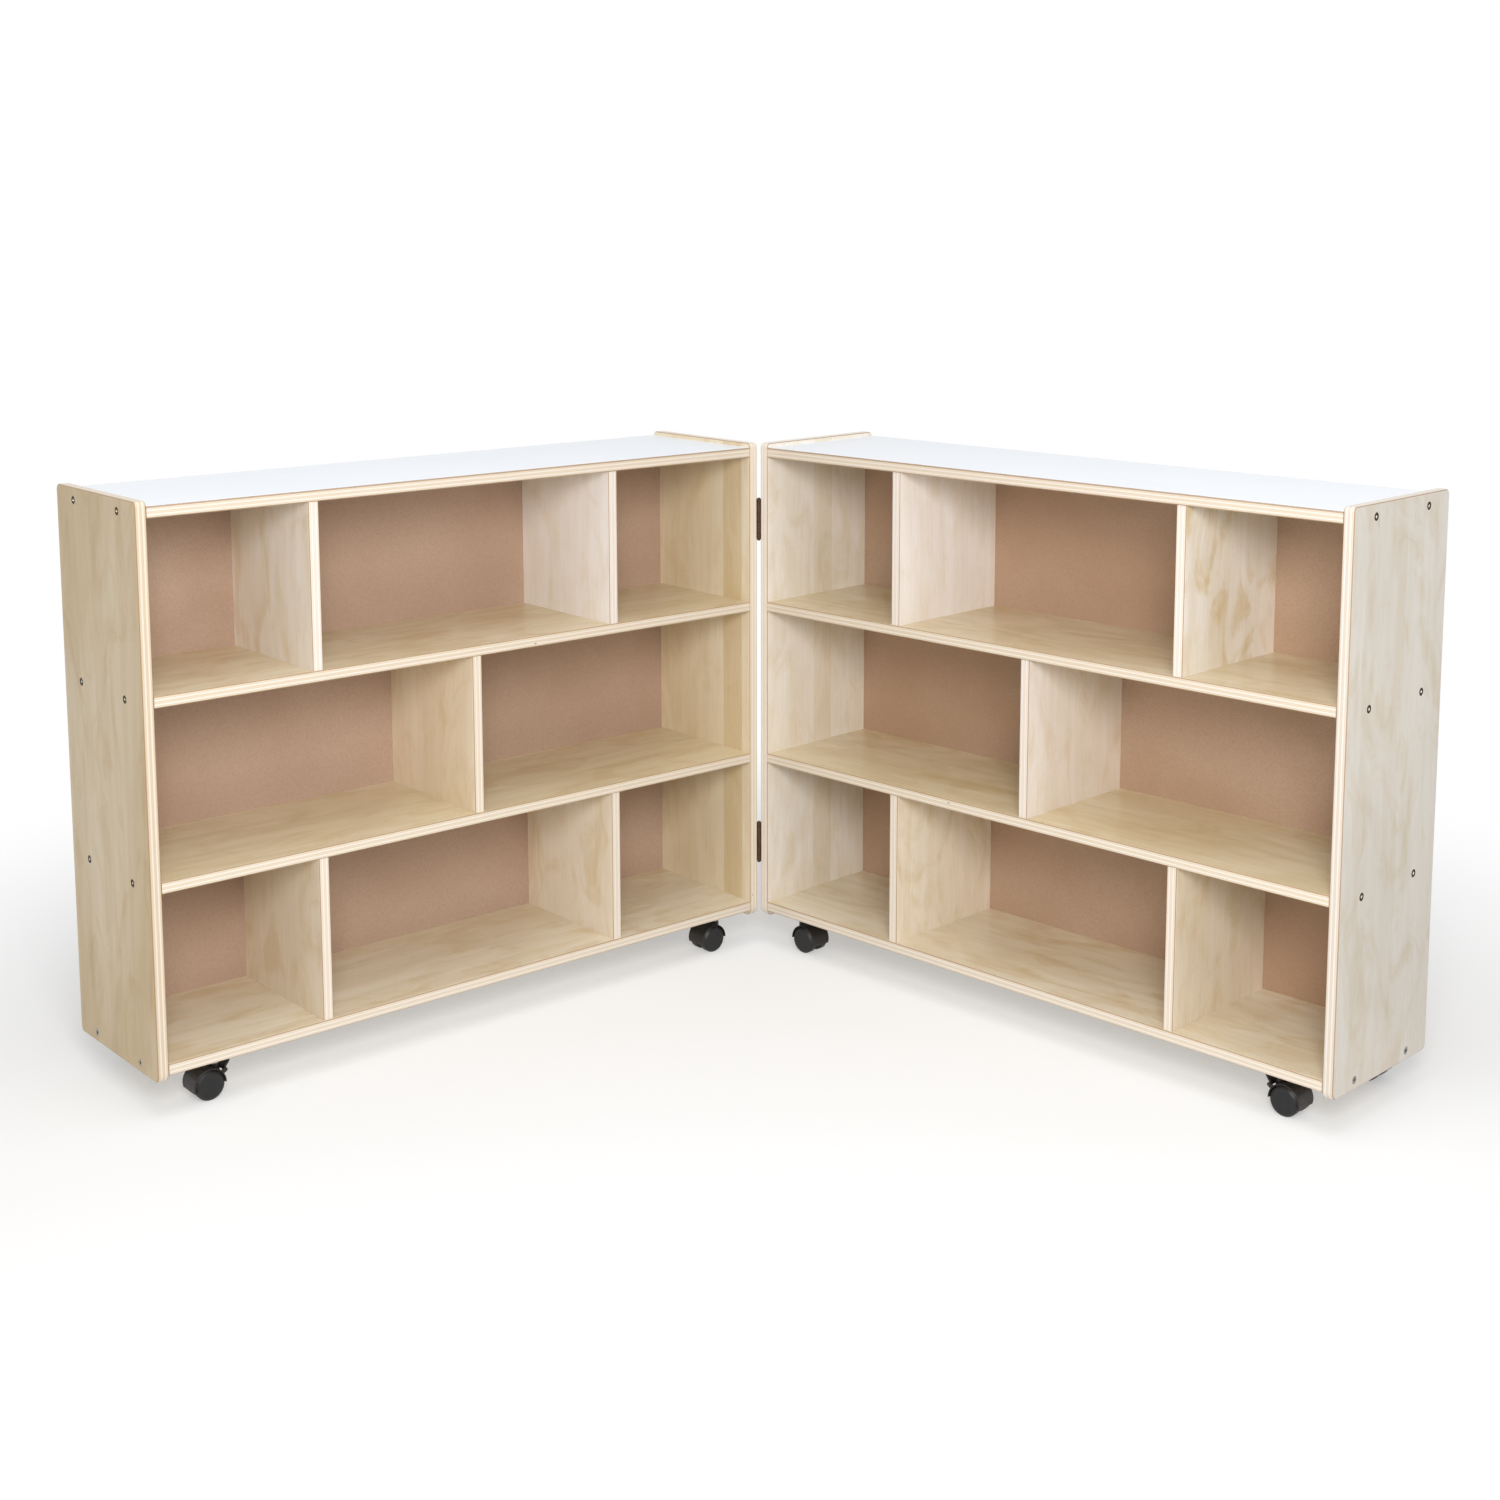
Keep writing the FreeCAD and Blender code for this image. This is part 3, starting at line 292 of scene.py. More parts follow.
def ply_edge(group, grain, through, given):
    """A sanded and lacquered plywood edge with pale plies, faint glue lines and a few voids."""
    along, across, seed = grain
    core = minus(group, given["Thickness"], 2 * VENEER)
    place = calc(group, "DIVIDE", minus(group, through, VENEER), core)
    waver = grained(group, grain, "waver", 2.0, 0.5)
    ply = plus(group, times(group, place, PLIES), times(group, waver, PLY_WAVER))
    ply = minus(group, ply, PLY_WAVER / 2)
    number = calc(group, "FLOOR", ply)
    parity = calc(group, "FLOORED_MODULO", number, 2.0)
    within = calc(group, "FRACT", ply)
    to_glue = calc(group, "MINIMUM", within, minus(group, 1.0, within))
    glue = ramp(group, to_glue, 0.02, 0.14, 1.0, 0.0)
    in_lines = (along, across, times(group, through, PLY_LINES))
    lines = ramp(group, grained(group, in_lines, "ply grain", 2.0, 0.6), 0.35, 0.8, 0.0, 0.2)
    pores = ramp(group, cloud(group, given["Board"], PLY_PORES, 2.0, 0.55), 0.5, 0.8)
    pores = times(group, pores, minus(group, 1.0, parity))
    in_ply = (along, across, plus(group, number, seed))
    voids = ramp(group, grained(group, in_ply, "voids", 1.0, 0.5), 0.79, 0.81)
    voids = times(group, voids, ramp(group, to_glue, 0.2, 0.3), 0.8)

    pale = blend(group, 0.75, given["Wood"], PALE_PLY)
    darker = blend(group, 0.6, given["Wood"], CROSS_PLY)
    colour = blend(group, parity, darker, pale)
    colour = blend(group, lines, colour, PLY_GRAIN)
    colour = blend(group, times(group, pores, 0.3), colour, PORE_BROWN)
    colour = blend(group, times(group, glue, 0.36), colour, GLUE_BROWN)
    colour = blend(group, voids, colour, VOID_BROWN)
    height = minus(group, times(group, plus(group, glue, pores), -0.3), voids)
    return colour, height


def make_birch_ply():
    """Lacquered birch plywood: veneer on both faces, plies and a brown line round the edges, partly glue
    and partly painted shade.
    """
    inputs = [("Board", "Vector", None), ("Thickness", "Float", 0.019), ("Seed", "Float", 0.0),
              ("Wood", "Color", tone(230, 220, 200)), ("Figure", "Float", 0.5), ("Mottle", "Float", 0.3),
              ("Strips", "Float", 0.0), ("Strip Width", "Float", 0.05)]
    group, given, end = new_group("birch_ply", inputs, SURFACE)
    board = split(group, given["Board"])
    through = board["Z"]
    grain = (board["X"], board["Y"], given["Seed"])
    face, face_rough, face_height = veneer_face(group, grain, given)
    plies, edge_height = ply_edge(group, grain, through, given)
    depth = calc(group, "MINIMUM", through, minus(group, given["Thickness"], through))
    edge = ramp(group, depth, *EDGE_STARTS)
    # A brown band where the edge rounds over: partly glue under the veneer, partly painted shade.
    glue_and_shade = times(group, ramp(group, depth, *GLUE_AND_SHADE_STARTS), ramp(group, depth, *GLUE_AND_SHADE_ENDS, 1.0, 0.0))
    colour = blend(group, edge, face, plies)
    colour = blend(group, times(group, glue_and_shade, 0.75), colour, EDGE_GLUE_AND_SHADE_BROWN)
    rough = plus(group, face_rough, times(group, edge, 0.08))
    height = plus(group, face_height, times(group, edge_height, edge))
    send(group, end, Color=colour, Roughness=rough, Height=height)
    return group


def seeded(group, given):
    """A group's point moved by its seed."""
    shift = vector(group, given["Seed"], 0.0, 0.0)
    return add(group, "ShaderNodeVectorMath", {0: given["Point"], 1: shift}, operation="ADD").outputs[0]


def make_hardboard():
    """Pressed brown hardboard: fine even speckle, slow drifts of tint and a slight sheen."""
    inputs = [("Point", "Vector", None), ("Seed", "Float", 0.0), ("Tan", "Color", tone(182, 152, 131))]
    group, given, end = new_group("hardboard", inputs, SURFACE)
    point = seeded(group, given)
    drift = cloud(group, point, HARDBOARD_SCALES["drift"], 3.0, 0.5, 0.3)
    mottle = cloud(group, point, HARDBOARD_SCALES["mottle"], 3.0, 0.65)
    speck = cloud(group, point, HARDBOARD_SCALES["speck"], 2.0, 0.6)
    fibres = cloud(group, point, HARDBOARD_SCALES["fibres"], 3.0, 0.6, 3.0)
    thread = ramp(group, calc(group, "ABSOLUTE", minus(group, fibres, 0.5)), 0.0, 0.02, 1.0, 0.0)
    paler = blend(group, 0.12, given["Tan"], tone(255, 240, 224))
    colour = blend(group, ramp(group, drift, 0.3, 0.7), given["Tan"], paler)
    colour = blend(group, ramp(group, mottle, 0.35, 0.7, 0.0, 0.3), colour, tone(158, 126, 103))
    colour = blend(group, ramp(group, speck, 0.55, 0.8, 0.0, 0.35), colour, tone(122, 92, 72))
    colour = blend(group, times(group, thread, 0.14), colour, tone(222, 194, 170))
    rough = plus(group, ramp(group, mottle, 0.2, 0.8, 0.42, 0.58), times(group, thread, 0.05))
    height = plus(group, times(group, mottle, 0.6), times(group, thread, 0.2))
    send(group, end, Color=colour, Roughness=rough, Height=height)
    return group


def make_laminate():
    """Cool white laminate with a fine pebble over a brown core that shows at its edge."""
    inputs = [("Point", "Vector", None), ("Seed", "Float", 0.0), ("Below Face", "Float", 0.0)]
    group, given, end = new_group("white_laminate", inputs, SURFACE)
    point = seeded(group, given)
    haze = cloud(group, point, LAMINATE_SCALES["haze"], 3.0, 0.5)
    pebble = cloud(group, point, LAMINATE_SCALES["pebble"], 2.0, 0.5)
    wiped = scaled(group, point, LAMINATE_SCALES["wipe"])
    wipe = ramp(group, cloud(group, wiped, 1.0, 3.0, 0.6, 0.6), 0.55, 0.85)
    core = ramp(group, given["Below Face"], LAMINATE_SKIN, 2 * LAMINATE_SKIN)
    colour = blend(group, ramp(group, haze, 0.3, 0.7), tone(236, 241, 248), tone(241, 244, 249))
    colour = blend(group, core, colour, tone(142, 112, 88))
    rough = plus(group, ramp(group, haze, 0.3, 0.7, 0.3, 0.38), times(group, wipe, 0.08),
                 times(group, core, 0.25))
    send(group, end, Color=colour, Roughness=rough, Height=pebble)
    return group


def make_moulded():
    """Moulded black nylon: spark-eroded grain, flow marks and floor dust low down."""
    inputs = [("Point", "Vector", None), ("Seed", "Float", 0.0), ("Height Above Floor", "Float", 0.03),
              ("Scuff", "Float", 0.0), ("Brown", "Float", 0.0)]
    group, given, end = new_group("moulded_nylon", inputs, SURFACE)
    point = seeded(group, given)
    grain = cloud(group, point, NYLON_SCALES["grain"], 2.0, 0.6)
    flow = cloud(group, point, NYLON_SCALES["flow"], 3.0, 0.55, 1.2)
    dusty = ramp(group, cloud(group, point, NYLON_SCALES["dust"], 4.0, 0.65), 0.42, 0.75)
    dust = times(group, dusty, ramp(group, given["Height Above Floor"], 0.0, DUST_REACH, 1.0, 0.15))
    scraped = scaled(group, point, NYLON_SCALES["scrape"])
    scrape = ramp(group, cloud(group, scraped, 1.0, 3.0, 0.7), 0.52, 0.68)
    scuff = calc(group, "MULTIPLY", scrape, given["Scuff"], clamp=True)
    colour = blend(group, ramp(group, flow, 0.3, 0.7), tone(15, 14, 15), tone(23, 22, 24))
    colour = blend(group, given["Brown"], colour, tone(42, 31, 26))
    colour = blend(group, times(group, dust, 0.2), colour, tone(112, 106, 98))
    colour = blend(group, times(group, scuff, 0.5), colour, tone(108, 104, 98))
    rough = plus(group, ramp(group, flow, 0.2, 0.8, 0.34, 0.48), times(group, dust, 0.25),
                 times(group, scuff, 0.2))
    height = plus(group, grain, times(group, scuff, -0.6))
    send(group, end, Color=colour, Roughness=rough, Height=height)
    return group


def make_plated():
    """Plated steel: clouded plating, fine drawn lines, places worn to the bare metal, and screw recesses
    in the bare colour as wear and painted light.
    """
    inputs = [("Point", "Vector", None), ("Seed", "Float", 0.0), ("Plating", "Color", tone(120, 120, 118)),
              ("Bare", "Color", tone(190, 188, 182)), ("Wear", "Float", 0.2), ("Recess Wear And Painted Light", "Float", 0.0)]
    group, given, end = new_group("plated_steel", inputs, SURFACE)
    point = seeded(group, given)
    clouding = cloud(group, point, STEEL_SCALES["clouding"], 3.0, 0.6)
    lines = cloud(group, scaled(group, point, STEEL_SCALES["drawn"]), 1.0, 2.0, 0.6)
    spots = ramp(group, cloud(group, point, STEEL_SCALES["spots"], 4.0, 0.7), 0.56, 0.7)
    wear = calc(group, "MULTIPLY", spots, given["Wear"], clamp=True)
    # Marked recess faces take the bare colour: partly wear, partly painted light in the recess.
    wear = calc(group, "MAXIMUM", wear, times(group, given["Recess Wear And Painted Light"], 0.92))
    darker = blend(group, 1.0, given["Plating"], tone(205, 205, 205), "MULTIPLY")
    colour = blend(group, ramp(group, clouding, 0.3, 0.7), given["Plating"], darker)
    colour = blend(group, wear, colour, given["Bare"])
    rough = plus(group, ramp(group, clouding, 0.2, 0.8, 0.3, 0.44), times(group, lines, 0.08))
    rough = minus(group, rough, times(group, wear, 0.1))
    height = plus(group, times(group, lines, 0.5), times(group, wear, -0.5))
    send(group, end, Color=colour, Roughness=rough, Height=height)
    return group


BIRCH_PLY = make_birch_ply()
HARDBOARD = make_hardboard()
LAMINATE = make_laminate()
MOULDED = make_moulded()
PLATED = make_plated()


def finish_material(name, group, values, bump, lift, **shader):
    """A material whose colour, roughness and height come from a finish group."""
    material = bpy.data.materials.new(name)
    material.use_nodes = True
    tree = material.node_tree
    tree.nodes.clear()
    look = add(tree, "ShaderNodeGroup", node_tree=group)
    for key, value in values(tree).items():
        set_or_join(tree, look.inputs[key], value)
    relief = {"Strength": bump, "Distance": lift, "Height": look.outputs["Height"]}
    inputs = {key.replace("_", " "): value for key, value in shader.items()}
    inputs["Base Color"] = look.outputs["Color"]
    inputs["Roughness"] = look.outputs["Roughness"]
    inputs["Normal"] = add(tree, "ShaderNodeBump", relief).outputs["Normal"]
    surface = add(tree, "ShaderNodeBsdfPrincipled", inputs)
    add(tree, "ShaderNodeOutputMaterial", {"Surface": surface.outputs[0]})
    return material


def mapped(tree, origin, rows):
    """Object coordinates taken to a frame with its own origin and axes."""
    turn = Matrix(rows)
    inputs = {"Vector": own_point(tree), "Location": -(turn @ origin), "Rotation": turn.to_euler()}
    return add(tree, "ShaderNodeMapping", inputs, vector_type="POINT").outputs[0]


def wear_finish(node_name, material):
    """Gives a CAD node its finish."""
    mesh = frame["nodes"][node_name].data
    mesh.materials.clear()
    mesh.materials.append(material)


# Frames of the cabinets


def cabinet_axes(side):
    """The cabinet's own X, Y and Z as rows."""
    return Matrix.Rotation(-TURNS[side], 3, "Z")


def cabinet_box(side, node_name):
    """The lowest and highest corner of a node in its cabinet's frame."""
    axes = cabinet_axes(side)
    points = [axes @ (corner.co - PINS) for corner in frame["nodes"][node_name].data.vertices]
    low = Vector(min(point[n] for point in points) for n in range(3))
    high = Vector(max(point[n] for point in points) for n in range(3))
    return low, high


# Boards

# The wood's tone and the strength of its figure, mottle and strips, on each board. The tones were matched
# to how lit each board looks, so besides the wood's own tone they hold painted light: the darker left
# outer side panel holds painted shade and the paler dividers hold painted light.
VENEERS = {
    "top_board": (tone(222, 208, 184), 0.4, 0.2, 0.0),
    "upper_shelf": (tone(222, 208, 178), 0.6, 0.6, 0.1),
    "lower_shelf": (tone(227, 215, 186), 0.6, 0.5, 0.15),
    "bottom_shelf": (tone(229, 218, 196), 0.5, 0.6, 0.1),
    "outer_side_panel": (tone(199, 175, 129), 0.35, 0.6, 0.25),
    "inner_side_panel": (tone(238, 224, 196), 0.25, 0.3, 0.7),
    "top_outer_divider": (tone(250, 244, 237), 0.3, 0.55, 0.1),
    "top_inner_divider": (tone(250, 246, 245), 0.2, 0.3, 0.1),
    "centre_divider": (tone(244, 229, 204), 0.25, 0.45, 0.15),
    "bottom_outer_divider": (tone(242, 230, 210), 0.2, 0.5, 0.1),
    "bottom_inner_divider": (tone(245, 235, 219), 0.2, 0.6, 0.1),
}
# These tones too were matched to how lit each board looks and hold painted light as well as the wood's own
# tone.
SPECIAL_VENEERS = {
    "right_outer_side_panel": (tone(212, 206, 198), 0.3, 0.5, 0.2),
    "right_inner_side_panel": (tone(244, 238, 229), 0.25, 0.35, 0.4),
    "right_top_outer_divider": (tone(252, 247, 240), 0.3, 1.0, 0.1),
    "right_centre_divider": (tone(246, 239, 234), 0.25, 0.45, 0.2),
}
STRIP_WIDTH = 0.055
BOARD_SEED = 3.7
CABINET_SEED = 41.3
HARDBOARD_SEED = 5.0
LAMINATE_SEED = 9.0

# The right cabinet's hardboard is a little darker and browner than the left's: painted shade for the shade
# its outer bays lie in.
HARDBOARD_TANS_WITH_SHADE = {"left": tone(180, 151, 131), "right": tone(179, 147, 121)}


def ply_values(side, node_name, lying, seed, looks):
    """The board's own point, thickness and veneer for the plywood finish."""
    low, high = cabinet_box(side, node_name)
    axes = cabinet_axes(side)
    if lying:
        rows = axes
        corner = low
        thickness = high.z - low.z
    else:
        rows = Matrix([axes[2], axes[1], -axes[0]])
        corner = Vector((high.x, low.y, low.z))
        thickness = high.x - low.x
    origin = PINS + axes.transposed() @ corner

    def values(tree):
        named = dict(zip(("Wood", "Figure", "Mottle", "Strips"), looks))
        point = mapped(tree, origin, rows)
        return {"Board": point, "Thickness": thickness, "Seed": seed, "Strip Width": STRIP_WIDTH, **named}
    return values


def dress_boards():
    """Plywood on every board, each with its own veneer."""
    for side_number, side in enumerate(TURNS):
        for number, name in enumerate(LYING_BOARDS + UPRIGHT_BOARDS):
            node_name = f"{side}_{name}"
            seed = BOARD_SEED * number + CABINET_SEED * side_number
            looks = SPECIAL_VENEERS.get(node_name, VENEERS[name])
            values = ply_values(side, node_name, name in LYING_BOARDS, seed, looks)
            material = finish_material(f"birch_{node_name}", BIRCH_PLY, values, bump=0.2, lift=0.0003,
                                       Coat_Weight=0.4, Coat_Roughness=0.16, Specular_IOR_Level=0.4)
            wear_finish(node_name, material)


def point_values(side, seed, **more):
    """A cabinet's own point for a finish that covers the whole piece."""
    def values(tree):
        return {"Point": mapped(tree, PINS, cabinet_axes(side)), "Seed": seed, **more}
    return values


def laminate_values(side, seed):
    """The cabinet's point, and how far a spot lies below the laminate's upper face."""
    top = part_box(f"{side}_top_laminate")[1][2]

    def values(tree):
        below = minus(tree, top, split(tree, own_point(tree))["Z"])
        return {"Point": mapped(tree, PINS, cabinet_axes(side)), "Seed": seed, "Below Face": below}
    return values


def dress_sheets():
    """Hardboard backs and laminate tops."""
    for number, side in enumerate(TURNS):
        values = point_values(side, HARDBOARD_SEED * number, Tan=HARDBOARD_TANS_WITH_SHADE[side])
        hardboard = finish_material(f"hardboard_{side}", HARDBOARD, values, bump=0.25, lift=0.0002,
                                    Specular_IOR_Level=0.35)
        wear_finish(f"{side}_back_panel", hardboard)
        values = laminate_values(side, LAMINATE_SEED * number)
        laminate = finish_material(f"laminate_{side}", LAMINATE, values, bump=0.1, lift=0.0001,
                                   Specular_IOR_Level=0.5)
        wear_finish(f"{side}_top_laminate", laminate)


# Steel


def steel_material(name, seed, plating, bare, wear, recess_wear_and_light=None):
    """Plated steel in one colour, with the bare colour on faces an attribute marks, as wear and painted
    light in a screw's recess.
    """
    point = point_values("left", seed, Plating=plating, Bare=bare, Wear=wear)

    def values(tree):
        found = point(tree)
        if recess_wear_and_light:
            found["Recess Wear And Painted Light"] = add(tree, "ShaderNodeAttribute", attribute_name=recess_wear_and_light).outputs["Fac"]
        return found
    return finish_material(name, PLATED, values, bump=0.2, lift=0.0001, Metallic=1.0)


ZINC = steel_material("zinc_steel", 1.0, tone(176, 176, 172), tone(212, 210, 205), 0.3)
BRONZE = steel_material("bronze_steel", 2.0, tone(96, 76, 58), tone(172, 142, 104), 0.35)
# In the recesses the bare colour is partly driver wear and partly painted light: a painted glint on the
# bronze and dark screws, painted shade on the zinc ones.
BRONZE_SCREW = steel_material("bronze_screw", 3.0, tone(88, 68, 50), tone(190, 164, 126), 0.3, "recess")
DARK_SCREW = steel_material("dark_screw", 4.0, tone(38, 33, 30), tone(226, 220, 210), 0.12, "recess")
ZINC_SCREW = steel_material("zinc_screw", 5.0, tone(172, 172, 168), tone(120, 118, 114), 0.2, "recess")


# Casters

# The tread's scuffing and a wheel's dust set in between these distances from the axle. How much dust
# there is goes by a height above the floor, and less height means more dust.
TREAD = (0.0235, 0.0248)
WHEEL_DUST = (0.018, 0.025)
WHEEL_DUST_HEIGHTS = (0.04, 0.005)
HOOD_SEED = 0.0
PEDAL_SEED = 2.0
WHEELS_SEED = 4.0
HOOD_BROWN = 0.35
PEDAL_BROWN = 0.1
NYLON_SHINE = 0.45


def caster_values(seed, brown, axle=None):
    """A caster's point and height above the floor, with scuffing on the tread about an axle."""
    def values(tree):
        spot = own_point(tree)
        height = split(tree, spot)["Z"]
        result = {"Point": spot, "Seed": seed, "Height Above Floor": height, "Brown": brown}
        if axle:
            centre, axis = axle
            local = split(tree, mapped(tree, centre, [axis.cross(UP), axis, UP]))
            radius = off_axis(tree, local["X"], local["Z"])
            result["Scuff"] = ramp(tree, radius, *TREAD)
            result["Height Above Floor"] = ramp(tree, radius, *WHEEL_DUST, *WHEEL_DUST_HEIGHTS)
        return result
    return values


def dress_casters():
    """Nylon on the hoods, wheels and brake pedals and zinc on their plates and pins."""
    hood = finish_material("hood_nylon", MOULDED, caster_values(HOOD_SEED, HOOD_BROWN),
                           bump=0.25, lift=0.00012, Specular_IOR_Level=NYLON_SHINE)
    pedal = finish_material("pedal_nylon", MOULDED, caster_values(PEDAL_SEED, PEDAL_BROWN),
                            bump=0.25, lift=0.00012, Specular_IOR_Level=NYLON_SHINE)
    joints = {joint["child"]: joint for joint in frame["joints"]}
    for side_number, side in enumerate(TURNS):
        wear_finish(f"{side}_caster_plates", ZINC)
        wear_finish(f"{side}_king_pins", ZINC)
        for number, caster in enumerate(CASTERS):
            wear_finish(f"{side}_{caster}_caster_hood", hood)
            if f"{side}_{caster}_brake_pedal" in frame["nodes"]:
                wear_finish(f"{side}_{caster}_brake_pedal", pedal)
            spin = joints[f"{side}_{caster}_wheels"]
            axle = Vector(spin["pos_m"]), Vector(spin["axis"])
            values = caster_values(WHEELS_SEED * side_number + number, 0.0, axle)
            wheel = finish_material(f"wheel_{side}_{caster}", MOULDED, values, bump=0.2, lift=0.0001,
                                    Specular_IOR_Level=NYLON_SHINE)
            wear_finish(f"{side}_{caster}_wheel_pair", wheel)


def dress_hinges():
    """Bronze on the leaves and pins."""
    for side in TURNS:
        wear_finish(f"{side}_hinge_leaves", BRONZE)
    wear_finish("hinge_pins", BRONZE)


# Screws

SCREW_SIDES = 36

# The walls of a recess are found by how far they reach from the middle, as a share of its width, and by
# the shares of its depth that they lie between. The steel gives these walls its bare colour, partly as
# wear
# and partly as painted light: a painted glint where that colour is light and painted shade where it is
# dark.
RECESS_REACH_SHARE = 0.55
RECESS_WALL_SHARES = (0.2, 1.05)
SAME_PLACE = 1e-6


def cone(tree, low_radius, high_radius, start, depth):
    """A round step of a screw, closed at both ends."""
    inputs = {"Vertices": SCREW_SIDES, "Depth": depth}
    inputs.update({"Radius Bottom": low_radius, "Radius Top": high_radius})
    made = add(tree, "GeometryNodeMeshCone", inputs, fill_type="NGON").outputs["Mesh"]
    moved = {"Geometry": made, "Translation": vector(tree, 0.0, 0.0, start)}
    return add(tree, "GeometryNodeTransform", moved).outputs[0]


def fused(tree, operation, *parts, first=None):
    """Several meshes as one closed mesh, or cut out of a first one."""
    made = add(tree, "GeometryNodeMeshBoolean", operation=operation, solver="EXACT")
    if first:
        tree.links.new(first, made.inputs["Mesh 1"])
    for part in parts:
        tree.links.new(part, made.inputs["Mesh 2"])
    return made.outputs[0]


def screw_tree():
    """Geometry nodes that turn aimed points into screws with a cross recess."""
    tree = bpy.data.node_groups.new("drive_screws", "GeometryNodeTree")
    tree.interface.new_socket("Geometry", in_out="INPUT", socket_type="NodeSocketGeometry")
    for name in SIDE_SCREW:
        tree.interface.new_socket(name, in_out="INPUT", socket_type="NodeSocketFloat")
    tree.interface.new_socket("Steel", in_out="INPUT", socket_type="NodeSocketMaterial")
    tree.interface.new_socket("Geometry", in_out="OUTPUT", socket_type="NodeSocketGeometry")
    given = tree.nodes.new("NodeGroupInput").outputs

    rim_end = given["Rim Depth"]
    head_end = plus(tree, rim_end, given["Head Depth"])
    shank = minus(tree, given["Length"], head_end)
    rim = cone(tree, given["Face Radius"], given["Rim Radius"], 0.0, rim_end)
    head = cone(tree, given["Rim Radius"], given["Neck Radius"], rim_end, given["Head Depth"])
    stem = cone(tree, given["Shank Radius"], given["Shank Radius"], head_end, shank)
    body = fused(tree, "UNION", rim, head, stem)

    width, slot, depth = given["Recess Width"], given["Recess Slot"], given["Recess Depth"]
    both_ways = times(tree, depth, 2.0)
    arms = [
        add(tree, "GeometryNodeMeshCube", {"Size": vector(tree, *size, both_ways)}).outputs["Mesh"]
        for size in ((width, slot), (slot, width))
    ]
    cut = fused(tree, "DIFFERENCE", fused(tree, "UNION", *arms), first=body)

    spot = split(tree, add(tree, "GeometryNodeInputPosition").outputs[0])
    reach = off_axis(tree, spot["X"], spot["Y"])
    inside = calc(tree, "LESS_THAN", reach, times(tree, width, RECESS_REACH_SHARE))
    shallowest, deepest = [times(tree, depth, share) for share in RECESS_WALL_SHARES]
    sunk = calc(tree, "GREATER_THAN", spot["Z"], shallowest)
    shallow = calc(tree, "LESS_THAN", spot["Z"], deepest)
    walls = times(tree, inside, sunk, shallow)
    inputs = {"Geometry": cut, "Name": "recess", "Value": walls}
    marked = add(tree, "GeometryNodeStoreNamedAttribute", inputs, data_type="FLOAT", domain="FACE")

    aim = add(tree, "GeometryNodeInputNamedAttribute", {"Name": "aim"}, data_type="FLOAT_VECTOR")
    turn = add(tree, "FunctionNodeAlignRotationToVector", {"Vector": aim.outputs["Attribute"]}, axis="Z")
    inputs = {"Points": given["Geometry"], "Instance": marked.outputs[0]}
    inputs["Rotation"] = turn.outputs["Rotation"]
    placed = add(tree, "GeometryNodeInstanceOnPoints", inputs).outputs["Instances"]
    real = add(tree, "GeometryNodeRealizeInstances", {"Geometry": placed}).outputs[0]
    steel = add(tree, "GeometryNodeSetMaterial", {"Geometry": real, "Material": given["Steel"]})
    add(tree, "NodeGroupOutput", {0: steel.outputs[0]})
    return tree


def islands(mesh):
    """The vertex places of each separate solid of a mesh, in the mesh's own order."""
    work = bmesh.new()
    work.from_mesh(mesh)
    bmesh.ops.remove_doubles(work, verts=work.verts, dist=SAME_PLACE)
    found = []
    seen = set()
    for first in work.verts:
        if first in seen:
            continue
        seen.add(first)
        members = [first]
        for vert in members:
            others = [edge.other_vert(vert) for edge in vert.link_edges]
            fresh = [other for other in others if other not in seen]
            seen.update(fresh)
            members.extend(fresh)
        found.append([vert.co.copy() for vert in members])
    work.free()
    return found


def screw_seats(node_name, axis):
    """The middle of each screw's head and the way its tip points, for screws along an axis."""
    seats = []
    for points in islands(frame["nodes"][node_name].data):
        middle = sum(points, Vector()) / len(points)
        runs = [(point - middle).dot(axis) for point in points]
        low, high = min(runs), max(runs)
        spread = {True: 0.0, False: 0.0}
        for point, run in zip(points, runs):
            offset = point - middle - axis * run
            nearer_low = run - low < high - run
            spread[nearer_low] = max(spread[nearer_low], offset.length)
        head_low = spread[True] > spread[False]
        straight = [point - axis * run for point, run in zip(points, runs)]
        centre = sum(straight, Vector()) / len(straight)
        seats.append((centre + axis * (low if head_low else high), axis if head_low else -axis))
    return seats


def drive_screws(tree, name, seats, steel, sizes):
    """Screws with a recess at the given seats, as one plain mesh."""
    mesh = bpy.data.meshes.new(name + "_seats")
    mesh.from_pydata([seat for seat, _ in seats], [], [])
    aims = mesh.attributes.new("aim", "FLOAT_VECTOR", "POINT")
    for number, (_, aim) in enumerate(seats):
        aims.data[number].vector = aim
    source = bpy.data.objects.new(name + "_seats", mesh)
    bpy.context.scene.collection.objects.link(source)
    modifier = source.modifiers.new("screws", "NODES")
    modifier.node_group = tree
    sockets = {item.name: item.identifier for item in tree.interface.items_tree if item.in_out == "INPUT"}
    for key, value in sizes.items():
        modifier[sockets[key]] = value
    modifier[sockets["Steel"]] = steel
    evaluated = source.evaluated_get(bpy.context.evaluated_depsgraph_get())
    made = bpy.data.meshes.new_from_object(evaluated)
    bpy.data.objects.remove(source)
    piece = bpy.data.objects.new(name, made)
    bpy.context.scene.collection.objects.link(piece)
    return piece


def replace_screws(tree, node_name, axis, sizes, steels):
    """Screws with a recess in place of a node's plain ones, in one steel or in two by their height."""
    seats = screw_seats(node_name, axis)
    for name, steel, (lowest, highest) in steels:
        chosen = [(seat, aim) for seat, aim in seats if lowest <= seat.z < highest]
        piece = drive_screws(tree, f"{node_name}_{name}", chosen, steel, sizes)
        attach(piece, frame["nodes"][node_name]["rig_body"])
        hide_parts(node_name)


